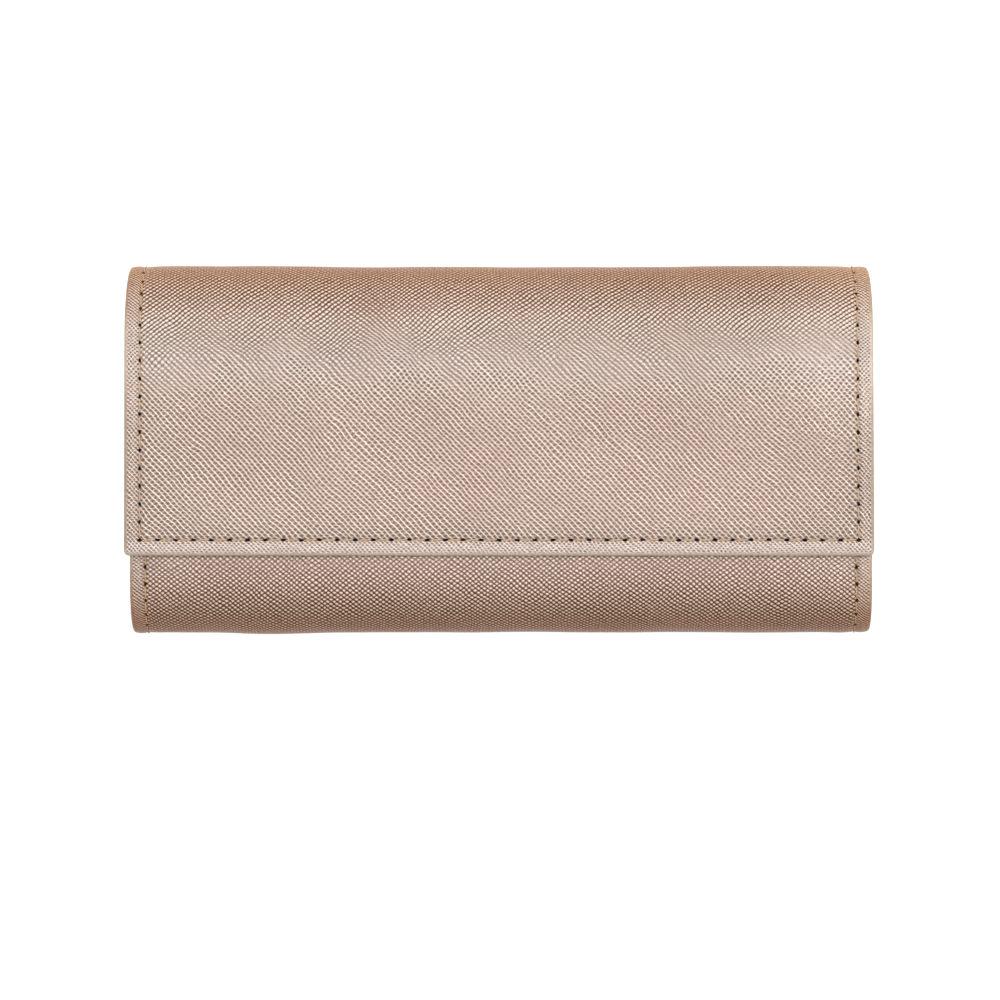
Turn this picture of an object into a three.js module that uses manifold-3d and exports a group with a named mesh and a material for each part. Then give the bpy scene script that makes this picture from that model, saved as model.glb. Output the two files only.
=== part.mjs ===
// A jewelry roll of metallic cross-grain faux leather, closed and lying on its back.
//
// One hemmed strip of cover runs through the whole roll. It lies flat under the base, turns up at
// the near fold into a short front panel, and turns over at the far fold into the flap, where a
// magnetic snap holds flap and front panel together. Each panel is a sandwich of cover, padding and
// suede lining. Each fold is three narrow leaves on four hinge lines, so that the strip rolls out
// flat. Inside are a zipped pocket and necklace tabs on the base, a padded ring bar on the front
// panel and an earring leaf on the flap.
//
// Millimetres. +X runs along the roll, +Y away from the flap's free edge and +Z up. The origin is
// under the middle of the closed roll, on the surface that it rests on.

import * as THREE from 'three';
import { mergeVertices } from 'three/addons/utils/BufferGeometryUtils.js';
import Module from 'manifold-3d';

// The closed roll
const FLAP_WIDTH = 200;
const FRONT_NARROWER = 1.4; // the near fold and front panel taper in by this much
const CLOSED_HEIGHT = 38;
const BARE_STRIP = 20.7; // front panel that shows below the flap's free edge
const FRONT_TUCK = 25; // front panel hidden under the flap
const CORNER_RADIUS = 2; // plan corners of the two free edges

// Layers, and the clearance that keeps neighbouring layers apart
const COVER = 1.2;
const PADDING = 2;
const LINING = 0.8;
const LAYER_GAP = 0.2;
const LINING_INSET = 1;
const HEM_WIDTH = 7.5; // cover turned in round the padding's edge
const HEM_THICKNESS = 1;
const SNAP_ROOM = 1.6; // between the flap's lining and the front panel's cover

// Folds
const FOLD_LEAVES = 3;
const HINGE_GAP = 0.4;

// Facets round curves
const ARC_STEPS_PER_TURN = 48;
const TURNED_SIDES = 32;
const DRILLED_SIDES = 24;
const PIN_SIDES = 16;
const CORNER_STEPS = 6;

// Magnetic snap
const SNAP_RADIUS = 7;
const SNAP_FROM_FLAP_EDGE = 15.5;
const MAGNET_DEPTH = 2.4; // how far the magnet sits into the flap
const SNAP_PLATE = 0.9;
const SNAP_SHANK_RADIUS = 2;
const SNAP_NUB_RADIUS = 2;
const SNAP_NUB = 0.7;
const SNAP_SOCKET_RADIUS = 3.2;
const SNAP_SOCKET = 1.3;
const SNAP_WASHER = 0.4;
const SNAP_WASHER_RADIUS = 8;
const SNAP_CHAMFER = 0.3;

// Zipped pocket on the base
const POCKET_SIDE_MARGIN = 12;
const POCKET_DEPTH = 34;
const POCKET_PAST_FOLD = 1.4; // its far flange runs this far on to the far fold's curve
const POCKET_FLANGE = 2.5;
const POCKET_SLOPE = 4;
const POCKET_RISE = 7;
const POCKET_PANEL = 0.8;
const POCKET_BRIM = 5; // how far the mouth stops short of the puffed top's end

// Zip
const ZIP_TAPE = 0.5;
const ZIP_TAPE_EDGE = 1.9; // from the chain's middle to the tape
const ZIP_TEETH_HEIGHT = 2;
const ZIP_PITCH = 2.4;
const ZIP_TOOTH = 0.9;
const ZIP_TOOTH_REACH = 0.7; // how far a tooth passes the chain's middle
const ZIP_RAIL_INNER = 1;
const ZIP_RAIL_OUTER = 1.7;
const ZIP_TAPE_FROM_END = 2.5; // to the slope at each end of the pocket's flat top
const ZIP_TAPE_FROM_SIDE = 1.6; // to the slopes along its sides
const ZIP_TAPE_PAST_CHAIN = 10;
const ZIP_MOUTH_HALF = 4.5;
const ZIP_STOP = 2.4;
const ZIP_STOP_WALL = 0.6;
const ZIP_CLEARANCE = 0.3;

// Zip slider and its pull
const SLIDER_LENGTH = 10;
const SLIDER_FRONT_HALF = 4.2;
const SLIDER_REAR_HALF = 3;
const SLIDER_PLATE = 1;
const SLIDER_WEDGE_LENGTH = 3;
const SLIDER_WEDGE_HALF = 1.2;
const SLIDER_WEDGE_SETBACK = 0.5;
const BAIL_RADIUS = 0.6;
const BAIL_WALL = 0.8;
const PULL_WIDTH = 5.4;
const PULL_LENGTH = 14;
const PULL_THICKNESS = 1;
const PULL_EYE_WIDTH = 3;
const PULL_EYE_WALL = 0.8;
const PULL_HOLE_RADIUS = 1.2;

// Ring bar on the front panel's lining
const RING_BAR_SIDE_MARGIN = 24.3;
const RING_BAR_RADIUS = 5.5;
const RING_BAR_SLEEVE = 0.8;
const RING_BAR_FROM_TIP = 14.7;
const RING_BAR_END_RADIUS = 2;
const RING_STRAP = 1.2;
const RING_STRAP_WIDTH = 10;
const RING_STRAP_REACH = 17; // past the bar's snapped end
const RING_STRAP_FOOT = 11.7; // past the bar's sewn end

// Press studs of the ring bar and of the necklace tabs
const STUD_BASE_RADIUS = 4;
const STUD_BASE = 0.6;
const STUD_POST_RADIUS = 1.5;
const STUD_HEAD_RADIUS = 1.8;
const STUD_HEAD = 0.7;
const CAP_RADIUS = 4.6;
const CAP_HEIGHT = 1.6;
const CAP_SKIN = 0.5;
const CAP_DOME = 0.7;
const CAP_HOLE_RADIUS = 2.3;

// Necklace tabs on the base
const TAB_COUNT = 3;
const TAB_SPACING = 48;
const TAB_WIDTH = 10;
const TAB_LENGTH = 22;
const TAB_THICKNESS = 1;
const TAB_SEWN_END = 4;
const TAB_FROM_POCKET = 3;
const TAB_FROM_FOLD = 5.6;
const TAB_STUD_FROM_TIP = 5.5;

// Earring leaf on the flap
const LEAF_SIDE_MARGIN = 16;
const LEAF_THICKNESS = 1.2;
const LEAF_FROM_FOLD = 2.6;
const LEAF_FROM_FRONT = 6.3; // between its free edge and the front panel's tip
const LEAF_CORNER = 4;
const LEAF_ROWS = 2;
const LEAF_HOLE_RADIUS = 1;
const LEAF_HOLE_PITCH = 13;
const LEAF_HOLE_FROM_SIDE = 12;

const SEAT_GAP = 0.3; // between a fitted piece and what it sits on or passes through
const OVERRUN = 1; // how far a cut runs past the faces it opens

// Heights and places worked out from the sizes above
const HEM_DEPTH = COVER + LAYER_GAP + PADDING;
const TUCK_DEPTH = HEM_DEPTH - HEM_THICKNESS;
const WALL = HEM_DEPTH + LAYER_GAP + LINING;
const FRONT_WIDTH = FLAP_WIDTH - FRONT_NARROWER;
const FRONT_TOP = CLOSED_HEIGHT - WALL - SNAP_ROOM;
const NECKLACE_ROOM = TAB_FROM_FOLD + TAB_LENGTH + TAB_FROM_POCKET;
const BASE_FLAT = NECKLACE_ROOM + POCKET_DEPTH - POCKET_PAST_FOLD;
const CLOSED_DEPTH = FRONT_TOP / 2 + BASE_FLAT + CLOSED_HEIGHT / 2;
const farFold = { side: 1, radius: CLOSED_HEIGHT / 2, y: CLOSED_DEPTH / 2 - CLOSED_HEIGHT / 2 };
const nearFold = { side: -1, radius: FRONT_TOP / 2, y: FRONT_TOP / 2 - CLOSED_DEPTH / 2 };
const FLAP_EDGE_Y = -CLOSED_DEPTH / 2 + BARE_STRIP;
const FRONT_TIP_Y = FLAP_EDGE_Y + FRONT_TUCK;
const SNAP_Y = FLAP_EDGE_Y + SNAP_FROM_FLAP_EDGE;
const BASE_LINING_Z = WALL;
const FLAP_LINING_Z = CLOSED_HEIGHT - WALL;
const FRONT_LINING_Z = FRONT_TOP - WALL;

const POCKET_LENGTH = FLAP_WIDTH - 2 * POCKET_SIDE_MARGIN;
const POCKET_FAR_Y = farFold.y + POCKET_PAST_FOLD;
const POCKET_NEAR_Y = POCKET_FAR_Y - POCKET_DEPTH;
const POCKET_FLANGE_Z = BASE_LINING_Z + LAYER_GAP + POCKET_PANEL;
const POCKET_TOP_Z = POCKET_FLANGE_Z + POCKET_RISE;
const ZIP_Y = (POCKET_NEAR_Y + POCKET_FAR_Y) / 2;
const ZIP_TAPE_TOP_Z = POCKET_TOP_Z - POCKET_PANEL - ZIP_CLEARANCE;
const ZIP_TAPE_WIDTH = POCKET_DEPTH / 2 - POCKET_FLANGE - POCKET_SLOPE - ZIP_TAPE_FROM_SIDE - ZIP_TAPE_EDGE;
const ZIP_TAPE_LENGTH = POCKET_LENGTH - 2 * (POCKET_FLANGE + POCKET_SLOPE + ZIP_TAPE_FROM_END);
const ZIP_CHAIN = ZIP_TAPE_LENGTH - 2 * ZIP_TAPE_PAST_CHAIN;
const ZIP_Z = ZIP_TAPE_TOP_Z - ZIP_TAPE / 2;
const SLIDER_HALF_HEIGHT = ZIP_TEETH_HEIGHT / 2 + ZIP_CLEARANCE + SLIDER_PLATE;
const SLIDER_END_X = ZIP_CHAIN / 2 + SLIDER_WEDGE_LENGTH + SLIDER_WEDGE_SETBACK + ZIP_CLEARANCE;
const PULL_EYE_RADIUS = BAIL_RADIUS + ZIP_CLEARANCE + PULL_EYE_WALL;
const BAIL_Z = ZIP_Z + SLIDER_HALF_HEIGHT + PULL_EYE_RADIUS + ZIP_CLEARANCE;
const BAIL_X = SLIDER_END_X - SLIDER_LENGTH / 2;
const PULL_DROP = BAIL_Z - PULL_THICKNESS / 2 - SEAT_GAP - POCKET_TOP_Z;

const RING_BAR_LENGTH = FRONT_WIDTH - 2 * RING_BAR_SIDE_MARGIN;
const RING_BAR_Y = FRONT_TIP_Y - RING_BAR_FROM_TIP;
const RING_BAR_Z = FRONT_LINING_Z - 2 * LAYER_GAP - RING_BAR_RADIUS;
const STUD_POST = TAB_THICKNESS + CAP_HEIGHT - CAP_SKIN;

const TAB_HINGE_Y = POCKET_NEAR_Y - TAB_FROM_POCKET;
const TAB_BOTTOM_Z = BASE_LINING_Z + SEAT_GAP;
const TAB_TOP_Z = BASE_LINING_Z + LAYER_GAP + STUD_BASE + SEAT_GAP + TAB_THICKNESS;
const TAB_STUD_Y = TAB_HINGE_Y - TAB_LENGTH + TAB_STUD_FROM_TIP;

const LEAF_LENGTH = FLAP_WIDTH - 2 * LEAF_SIDE_MARGIN;
const LEAF_HINGE_Y = farFold.y - LEAF_FROM_FOLD;
const LEAF_WIDTH = LEAF_HINGE_Y - FRONT_TIP_Y - LEAF_FROM_FRONT;

// A fold's hinge lines, by angle round the fold from its lowest point
const hingeAngle = (line) => ((line + 0.5) * Math.PI) / (FOLD_LEAVES + 1);

const wasm = await Module();
wasm.setup();

const roll = new THREE.Group();

function finish(color, roughness, metalness = 0) {
  return new THREE.MeshStandardMaterial({ color, roughness, metalness });
}

const coverLeather = finish(0xc4ae9f, 0.5, 0.25);
const liningSuede = finish(0xd9c3b4, 0.95);
const paddingFoam = finish(0xe8e4dc, 1);
const zipFabric = finish(0xc7ab98, 0.9);
const goldMetal = finish(0xd6b07a, 0.3, 1);
const plainSteel = finish(0xb8b6b2, 0.4, 1);

function solidOf(geometry) {
  geometry.deleteAttribute('normal');
  geometry.deleteAttribute('uv');
  const merged = mergeVertices(geometry);
  return new wasm.Manifold(
    new wasm.Mesh({
      numProp: 3,
      vertProperties: merged.attributes.position.array,
      triVerts: new Uint32Array(merged.index.array),
    }),
  );
}

function geometryOf(solid) {
  const mesh = solid.getMesh();
  const geometry = new THREE.BufferGeometry();
  geometry.setAttribute('position', new THREE.BufferAttribute(mesh.vertProperties, 3));
  geometry.setIndex(new THREE.BufferAttribute(mesh.triVerts, 1));
  geometry.computeVertexNormals();
  return geometry;
}

// Adds a piece to its group. Its place is the group's own, unless it is given one.
function addPiece(group, name, shape, material, position = [0, 0, 0]) {
  const geometry = shape.isBufferGeometry ? shape : geometryOf(shape);
  const mesh = new THREE.Mesh(geometry, material);
  mesh.name = name;
  mesh.position.set(...position);
  group.add(mesh);
}

// A section drawn in Y and Z, as a prism centred on X = 0
function acrossX(section, width) {
  const geometry = new THREE.ExtrudeGeometry(section, { depth: width, bevelEnabled: false });
  geometry.translate(0, 0, -width / 2);
  const axes = [new THREE.Vector3(0, 1, 0), new THREE.Vector3(0, 0, 1), new THREE.Vector3(1, 0, 0)];
  return geometry.applyMatrix4(new THREE.Matrix4().makeBasis(...axes));
}

// A plan outline drawn in X and Y, as a plate from one height to another
function plate(outline, bottom, top) {
  const geometry = new THREE.ExtrudeGeometry(outline, {
    depth: top - bottom,
    bevelEnabled: false,
    curveSegments: CORNER_STEPS,
  });
  return geometry.translate(0, 0, bottom);
}

function box(x, y, z) {
  const geometry = new THREE.BoxGeometry(x[1] - x[0], y[1] - y[0], z[1] - z[0]);
  return solidOf(geometry.translate((x[0] + x[1]) / 2, (y[0] + y[1]) / 2, (z[0] + z[1]) / 2));
}

// An upright cylinder, for holes
function drill(radius, bottom, top, x = 0, y = 0) {
  const geometry = new THREE.CylinderGeometry(radius, radius, top - bottom, DRILLED_SIDES);
  return solidOf(geometry.rotateX(Math.PI / 2).translate(x, y, (bottom + top) / 2));
}

// A turned piece about the Z axis. The profile lists radius and height, from its foot to its top.
function turned(profile) {
  const points = profile.map(([radius, height]) => new THREE.Vector2(radius, height));
  return new THREE.LatheGeometry(points, TURNED_SIDES).rotateX(Math.PI / 2);
}

function roundedOutline(x0, x1, y0, y1, radius) {
  const outline = new THREE.Shape();
  outline.moveTo(x0 + radius, y0);
  outline.lineTo(x1 - radius, y0);
  outline.absarc(x1 - radius, y0 + radius, radius, -Math.PI / 2, 0);
  outline.lineTo(x1, y1 - radius);
  outline.absarc(x1 - radius, y1 - radius, radius, 0, Math.PI / 2);
  outline.lineTo(x0 + radius, y1);
  outline.absarc(x0 + radius, y1 - radius, radius, Math.PI / 2, Math.PI);
  outline.lineTo(x0, y0 + radius);
  outline.absarc(x0 + radius, y0 + radius, radius, Math.PI, 1.5 * Math.PI);
  return outline;
}

// Points round a fold between two angles, at a depth in from the outer face
function foldArc(fold, from, to, depth) {
  const radius = fold.radius - depth;
  const steps = Math.ceil((Math.abs(to - from) / (2 * Math.PI)) * ARC_STEPS_PER_TURN);
  return Array.from({ length: steps + 1 }, (_, step) => {
    const angle = from + ((to - from) * step) / steps;
    const y = fold.y + fold.side * radius * Math.sin(angle);
    return new THREE.Vector2(y, fold.radius - radius * Math.cos(angle));
  });
}

// The five kinds of stretch along the strip. An outline runs along one at a depth in from the
// outer face. past is how far it runs past its hinge lines, and inset how far it stops short of a
// free edge.
const basePanel = {
  width: FLAP_WIDTH,
  outline: (depth, past) => [
    ...foldArc(nearFold, hingeAngle(0) + past / nearFold.radius, 0, depth),
    ...foldArc(farFold, 0, hingeAngle(0) + past / farFold.radius, depth),
  ],
};

function endPanel(fold, width, top, edgeY) {
  return {
    width,
    outline: (depth, past, inset) => [
      ...foldArc(fold, hingeAngle(FOLD_LEAVES) - past / fold.radius, Math.PI, depth),
      new THREE.Vector2(edgeY + fold.side * inset, top - depth),
    ],
  };
}

const flapPanel = endPanel(farFold, FLAP_WIDTH, CLOSED_HEIGHT, FLAP_EDGE_Y);
const frontPanel = endPanel(nearFold, FRONT_WIDTH, FRONT_TOP, FRONT_TIP_Y);

function foldLeaf(fold, width, leaf) {
  return {
    width,
    outline: (depth, past) => {
      const angle = past / fold.radius;
      return foldArc(fold, hingeAngle(leaf) - angle, hingeAngle(leaf + 1) + angle, depth);
    },
  };
}

// The part of a stretch between two depths
function band(stretch, outer, inner, width, past, inset = 0) {
  const outside = stretch.outline(outer, past, inset);
  const inside = stretch.outline(inner, past, inset).reverse();
  return solidOf(acrossX(new THREE.Shape([...outside, ...inside]), width));
}

// Cover with its long edges, and its free edge if it has one, turned in over the padding
function hemmedCover(stretch) {
  const { width } = stretch;
  const whole = band(stretch, 0, HEM_DEPTH, width, -HINGE_GAP / 2);
  const tray = band(stretch, COVER, TUCK_DEPTH, width - 2 * COVER, OVERRUN, COVER);
  const window = band(stretch, COVER, HEM_DEPTH + OVERRUN, width - 2 * HEM_WIDTH, OVERRUN, HEM_WIDTH);
  return whole.subtract(tray).subtract(window);
}

function lining(stretch) {
  const { width } = stretch;
  return band(stretch, HEM_DEPTH + LAYER_GAP, WALL, width - 2 * LINING_INSET, -HINGE_GAP / 2, LINING_INSET);
}

// In a fold the lining carries its own foam, which fills the space between the hems
function foamBackedLining(stretch) {
  const between = stretch.width - 2 * (HEM_WIDTH + LAYER_GAP);
  const foam = band(stretch, COVER + LAYER_GAP, WALL, between, -HINGE_GAP / 2);
  return lining(stretch).add(foam);
}

// Rounds the plan corners of a panel's free edge
function roundFreeEdge(solid, width, edgeY, side) {
  const beyond = edgeY + side * CLOSED_DEPTH;
  const [y0, y1] = side > 0 ? [edgeY, beyond] : [beyond, edgeY];
  const outline = roundedOutline(-width / 2, width / 2, y0, y1, CORNER_RADIUS);
  return solid.intersect(solidOf(plate(outline, -OVERRUN, CLOSED_HEIGHT + OVERRUN)));
}

// Padding with a thick middle between the hems and a thin border tucked under them
function padding(stretch) {
  const { width } = stretch;
  const top = COVER + LAYER_GAP;
  const middle = HEM_WIDTH + LAYER_GAP;
  const border = band(stretch, top, TUCK_DEPTH - LAYER_GAP, width - 2 * top, -HINGE_GAP / 2, top);
  return border.add(band(stretch, top, HEM_DEPTH, width - 2 * middle, -HINGE_GAP / 2, middle));
}

// The magnetic snap: a magnet in the flap, a nubbed plate on the front panel, a washer behind each

const magnetBackZ = FLAP_LINING_Z + MAGNET_DEPTH;
const magnetFaceZ = FLAP_LINING_Z - LAYER_GAP;
const washerRoom = SNAP_WASHER_RADIUS + SEAT_GAP;

function flapPadding() {
  const pad = padding(flapPanel);
  const magnetHole = drill(SNAP_RADIUS + SEAT_GAP, FLAP_LINING_Z, CLOSED_HEIGHT, 0, SNAP_Y);
  return pad.subtract(magnetHole).subtract(drill(washerRoom, magnetBackZ, CLOSED_HEIGHT, 0, SNAP_Y));
}

function flapLining() {
  const hole = drill(SNAP_RADIUS + SEAT_GAP, FLAP_LINING_Z - OVERRUN, CLOSED_HEIGHT, 0, SNAP_Y);
  return roundFreeEdge(lining(flapPanel), FLAP_WIDTH, FLAP_EDGE_Y, 1).subtract(hole);
}

function magnet() {
  const height = magnetBackZ - magnetFaceZ;
  return turned([
    [0, SNAP_SOCKET],
    [SNAP_SOCKET_RADIUS, SNAP_SOCKET],
    [SNAP_SOCKET_RADIUS, 0],
    [SNAP_RADIUS - SNAP_CHAMFER, 0],
    [SNAP_RADIUS, SNAP_CHAMFER],
    [SNAP_RADIUS, height],
    [0, height],
  ]);
}

function snapPlate() {
  return turned([
    [0, -COVER - LAYER_GAP - SNAP_WASHER - LAYER_GAP],
    [SNAP_SHANK_RADIUS, -COVER - LAYER_GAP - SNAP_WASHER - LAYER_GAP],
    [SNAP_SHANK_RADIUS, LAYER_GAP],
    [SNAP_RADIUS, LAYER_GAP],
    [SNAP_RADIUS, LAYER_GAP + SNAP_PLATE - SNAP_CHAMFER],
    [SNAP_RADIUS - SNAP_CHAMFER, LAYER_GAP + SNAP_PLATE],
    [SNAP_NUB_RADIUS, LAYER_GAP + SNAP_PLATE],
    [SNAP_NUB_RADIUS - SNAP_CHAMFER, LAYER_GAP + SNAP_PLATE + SNAP_NUB],
    [0, LAYER_GAP + SNAP_PLATE + SNAP_NUB],
  ]);
}

function washer(hole) {
  return turned([
    [hole, 0],
    [SNAP_WASHER_RADIUS, 0],
    [SNAP_WASHER_RADIUS, SNAP_WASHER],
    [hole, SNAP_WASHER],
    [hole, 0],
  ]);
}

function frontCover() {
  const hole = drill(SNAP_SHANK_RADIUS + SEAT_GAP, 0, FRONT_TOP + OVERRUN, 0, SNAP_Y);
  return roundFreeEdge(hemmedCover(frontPanel), FRONT_WIDTH, FRONT_TIP_Y, -1).subtract(hole);
}

function frontPadding() {
  const pad = padding(frontPanel);
  const recess = COVER + LAYER_GAP + SNAP_WASHER + 2 * LAYER_GAP;
  return pad.subtract(drill(washerRoom, FRONT_TOP - recess, FRONT_TOP, 0, SNAP_Y));
}

// Height of the pocket's puffed top over its flange, as a share of the full rise
function puffShare(place, length, start) {
  const share = (Math.min(place, length - place) - start) / POCKET_SLOPE;
  return THREE.MathUtils.smoothstep(share, 0, 1);
}

// Places across the pocket where its shape bends, from one edge to the other
function pocketStations(length, start) {
  const slopeShares = [0, 0.2, 0.4, 0.6, 0.8, 1];
  const rising = [0, ...slopeShares.map((share) => start + share * POCKET_SLOPE)];
  return [...rising, ...rising.map((place) => length - place).reverse()];
}

// The pocket's panel: a sewn flange, drawn-up sides and a flat top with the zip's mouth in it
function pocketPanel() {
  const grid = [];
  for (const below of [0, POCKET_PANEL]) {
    const start = POCKET_FLANGE + below;
    for (const row of pocketStations(POCKET_DEPTH, start)) {
      const across = puffShare(row, POCKET_DEPTH, start);
      for (const column of pocketStations(POCKET_LENGTH, start)) {
        const rise = POCKET_RISE * across * puffShare(column, POCKET_LENGTH, start);
        grid.push(column - POCKET_LENGTH / 2, POCKET_NEAR_Y + row, POCKET_FLANGE_Z + rise - below);
      }
    }
  }
  const lastRow = pocketStations(POCKET_DEPTH, 0).length - 1;
  const lastColumn = pocketStations(POCKET_LENGTH, 0).length - 1;
  const at = (layer, row, column) => (layer * (lastRow + 1) + row) * (lastColumn + 1) + column;
  const faces = [];
  const quad = (a, b, c, d) => faces.push(a, b, c, a, c, d);
  for (let row = 0; row < lastRow; row++) {
    for (let column = 0; column < lastColumn; column++) {
      quad(at(0, row, column), at(0, row, column + 1), at(0, row + 1, column + 1), at(0, row + 1, column));
      quad(at(1, row, column), at(1, row + 1, column), at(1, row + 1, column + 1), at(1, row, column + 1));
    }
  }
  for (let column = 0; column < lastColumn; column++) {
    quad(at(1, 0, column), at(1, 0, column + 1), at(0, 0, column + 1), at(0, 0, column));
    const [top, below] = [0, 1].map((layer) => [at(layer, lastRow, column), at(layer, lastRow, column + 1)]);
    quad(...top, ...below.reverse());
  }
  for (let row = 0; row < lastRow; row++) {
    quad(at(0, row, 0), at(0, row + 1, 0), at(1, row + 1, 0), at(1, row, 0));
    const [upper, under] = [0, 1].map((layer) => [at(layer, row, lastColumn), at(layer, row + 1, lastColumn)]);
    quad(...under, ...upper.reverse());
  }
  const sheet = new THREE.BufferGeometry();
  sheet.setAttribute('position', new THREE.Float32BufferAttribute(grid, 3));
  sheet.setIndex(faces);
  const mouthEnd = POCKET_LENGTH / 2 - POCKET_FLANGE - POCKET_SLOPE - POCKET_BRIM;
  const mouthY = [ZIP_Y - ZIP_MOUTH_HALF, ZIP_Y + ZIP_MOUTH_HALF];
  const mouth = roundedOutline(-mouthEnd, mouthEnd, ...mouthY, CORNER_RADIUS);
  const cut = plate(mouth, POCKET_TOP_Z - POCKET_PANEL - OVERRUN, POCKET_TOP_Z + OVERRUN);
  return solidOf(sheet).subtract(solidOf(cut));
}

// One row of zip teeth on its rail. The far row's teeth point to the near side and stand half a
// pitch along from the near row's, so that the two rows mesh.
function teethRow(side) {
  const start = -ZIP_CHAIN / 2;
  const offset = side > 0 ? 0 : ZIP_PITCH / 2;
  const count = Math.floor((ZIP_CHAIN - ZIP_PITCH) / ZIP_PITCH);
  const y = (fromMiddle) => side * fromMiddle;
  const row = new THREE.Shape();
  row.moveTo(start, y(ZIP_RAIL_OUTER));
  row.lineTo(start, y(ZIP_RAIL_INNER));
  for (let tooth = 0; tooth < count; tooth++) {
    const x = start + offset + ZIP_PITCH / 4 + tooth * ZIP_PITCH;
    row.lineTo(x, y(ZIP_RAIL_INNER));
    row.lineTo(x, y(-ZIP_TOOTH_REACH));
    row.lineTo(x + ZIP_TOOTH, y(-ZIP_TOOTH_REACH));
    row.lineTo(x + ZIP_TOOTH, y(ZIP_RAIL_INNER));
  }
  row.lineTo(start + ZIP_CHAIN, y(ZIP_RAIL_INNER));
  row.lineTo(start + ZIP_CHAIN, y(ZIP_RAIL_OUTER));
  row.closePath();
  return plate(row, -ZIP_TEETH_HEIGHT / 2, ZIP_TEETH_HEIGHT / 2);
}

// A crimped stop that grips both tapes at an end of the chain
function zipStop() {
  const half = ZIP_TAPE_EDGE + ZIP_RAIL_INNER;
  const grip = ZIP_TAPE / 2 + ZIP_CLEARANCE;
  const length = [-ZIP_STOP / 2, ZIP_STOP / 2];
  const block = box(length, [-half, half], [-grip - ZIP_STOP_WALL, grip + ZIP_STOP_WALL]);
  const web = ZIP_TAPE_EDGE - ZIP_CLEARANCE;
  const past = [length[0] - OVERRUN, length[1] + OVERRUN];
  const farSlot = box(past, [web, half + OVERRUN], [-grip, grip]);
  const nearSlot = box(past, [-half - OVERRUN, -web], [-grip, grip]);
  return block.subtract(farSlot).subtract(nearSlot);
}

// The slider, about the chain's middle line with its front end at X = 0
function sliderBody() {
  const plan = new THREE.Shape();
  plan.moveTo(0, -SLIDER_FRONT_HALF / 2);
  plan.quadraticCurveTo(0, -SLIDER_FRONT_HALF, -SLIDER_LENGTH / 3, -SLIDER_FRONT_HALF);
  plan.lineTo(-SLIDER_LENGTH, -SLIDER_REAR_HALF);
  plan.lineTo(-SLIDER_LENGTH, SLIDER_REAR_HALF);
  plan.lineTo(-SLIDER_LENGTH / 3, SLIDER_FRONT_HALF);
  plan.quadraticCurveTo(0, SLIDER_FRONT_HALF, 0, SLIDER_FRONT_HALF / 2);
  const past = [-SLIDER_LENGTH - OVERRUN, OVERRUN];
  const side = SLIDER_FRONT_HALF + OVERRUN;
  const grip = ZIP_TAPE / 2 + ZIP_CLEARANCE;
  const channel = ZIP_RAIL_OUTER + ZIP_CLEARANCE;
  const inside = ZIP_TEETH_HEIGHT / 2 + ZIP_CLEARANCE;
  const wedge = new THREE.Shape();
  const wedgeFront = -SLIDER_WEDGE_SETBACK;
  wedge.moveTo(wedgeFront, -SLIDER_WEDGE_HALF);
  wedge.lineTo(wedgeFront, SLIDER_WEDGE_HALF);
  wedge.lineTo(wedgeFront - SLIDER_WEDGE_LENGTH, 0);
  return solidOf(plate(plan, -SLIDER_HALF_HEIGHT, SLIDER_HALF_HEIGHT))
    .subtract(box(past, [-side, side], [-grip, grip]))
    .subtract(box(past, [-channel, channel], [-inside, inside]))
    .add(solidOf(plate(wedge, -SLIDER_HALF_HEIGHT, SLIDER_HALF_HEIGHT)))
    .add(bail());
}

// The bridge on the slider's back that the pull hangs on
function bail() {
  const legs = PULL_EYE_WIDTH / 2 + ZIP_CLEARANCE;
  const middle = -SLIDER_LENGTH / 2;
  const x = [middle - BAIL_RADIUS - BAIL_WALL, middle + BAIL_RADIUS + BAIL_WALL];
  const barZ = BAIL_Z - ZIP_Z;
  const z = [SLIDER_HALF_HEIGHT - SLIDER_PLATE / 2, barZ + BAIL_RADIUS];
  const bar = new THREE.CylinderGeometry(BAIL_RADIUS, BAIL_RADIUS, 2 * legs + BAIL_WALL, PIN_SIDES);
  return box(x, [legs, legs + BAIL_WALL], z)
    .add(box(x, [-legs - BAIL_WALL, -legs], z))
    .add(solidOf(bar.translate(middle, 0, barZ)));
}

// The pull, about the bail's bar, lying towards -X with its tip on the pocket
function zipPull() {
  const half = PULL_WIDTH / 2;
  const neck = PULL_EYE_WIDTH / 2;
  const blade = new THREE.Shape();
  blade.moveTo(0, -neck);
  blade.lineTo(0, neck);
  blade.lineTo(-2 * PULL_EYE_RADIUS, neck);
  blade.lineTo(-PULL_LENGTH / 2, half);
  blade.lineTo(half - PULL_LENGTH, half);
  blade.absarc(half - PULL_LENGTH, 0, half, Math.PI / 2, 1.5 * Math.PI);
  blade.lineTo(-PULL_LENGTH / 2, -half);
  blade.lineTo(-2 * PULL_EYE_RADIUS, -neck);
  blade.holes.push(new THREE.Path().absarc(half - PULL_LENGTH, 0, PULL_HOLE_RADIUS, 0, 2 * Math.PI));
  const eye = new THREE.CylinderGeometry(PULL_EYE_RADIUS, PULL_EYE_RADIUS, PULL_EYE_WIDTH, PIN_SIDES);
  const boreRadius = BAIL_RADIUS + ZIP_CLEARANCE;
  const bore = new THREE.CylinderGeometry(boreRadius, boreRadius, PULL_WIDTH, PIN_SIDES);
  return solidOf(plate(blade, -PULL_THICKNESS / 2, PULL_THICKNESS / 2))
    .add(solidOf(eye))
    .subtract(solidOf(bore))
    .rotate([0, -THREE.MathUtils.radToDeg(Math.asin(PULL_DROP / PULL_LENGTH)), 0]);
}

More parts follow.
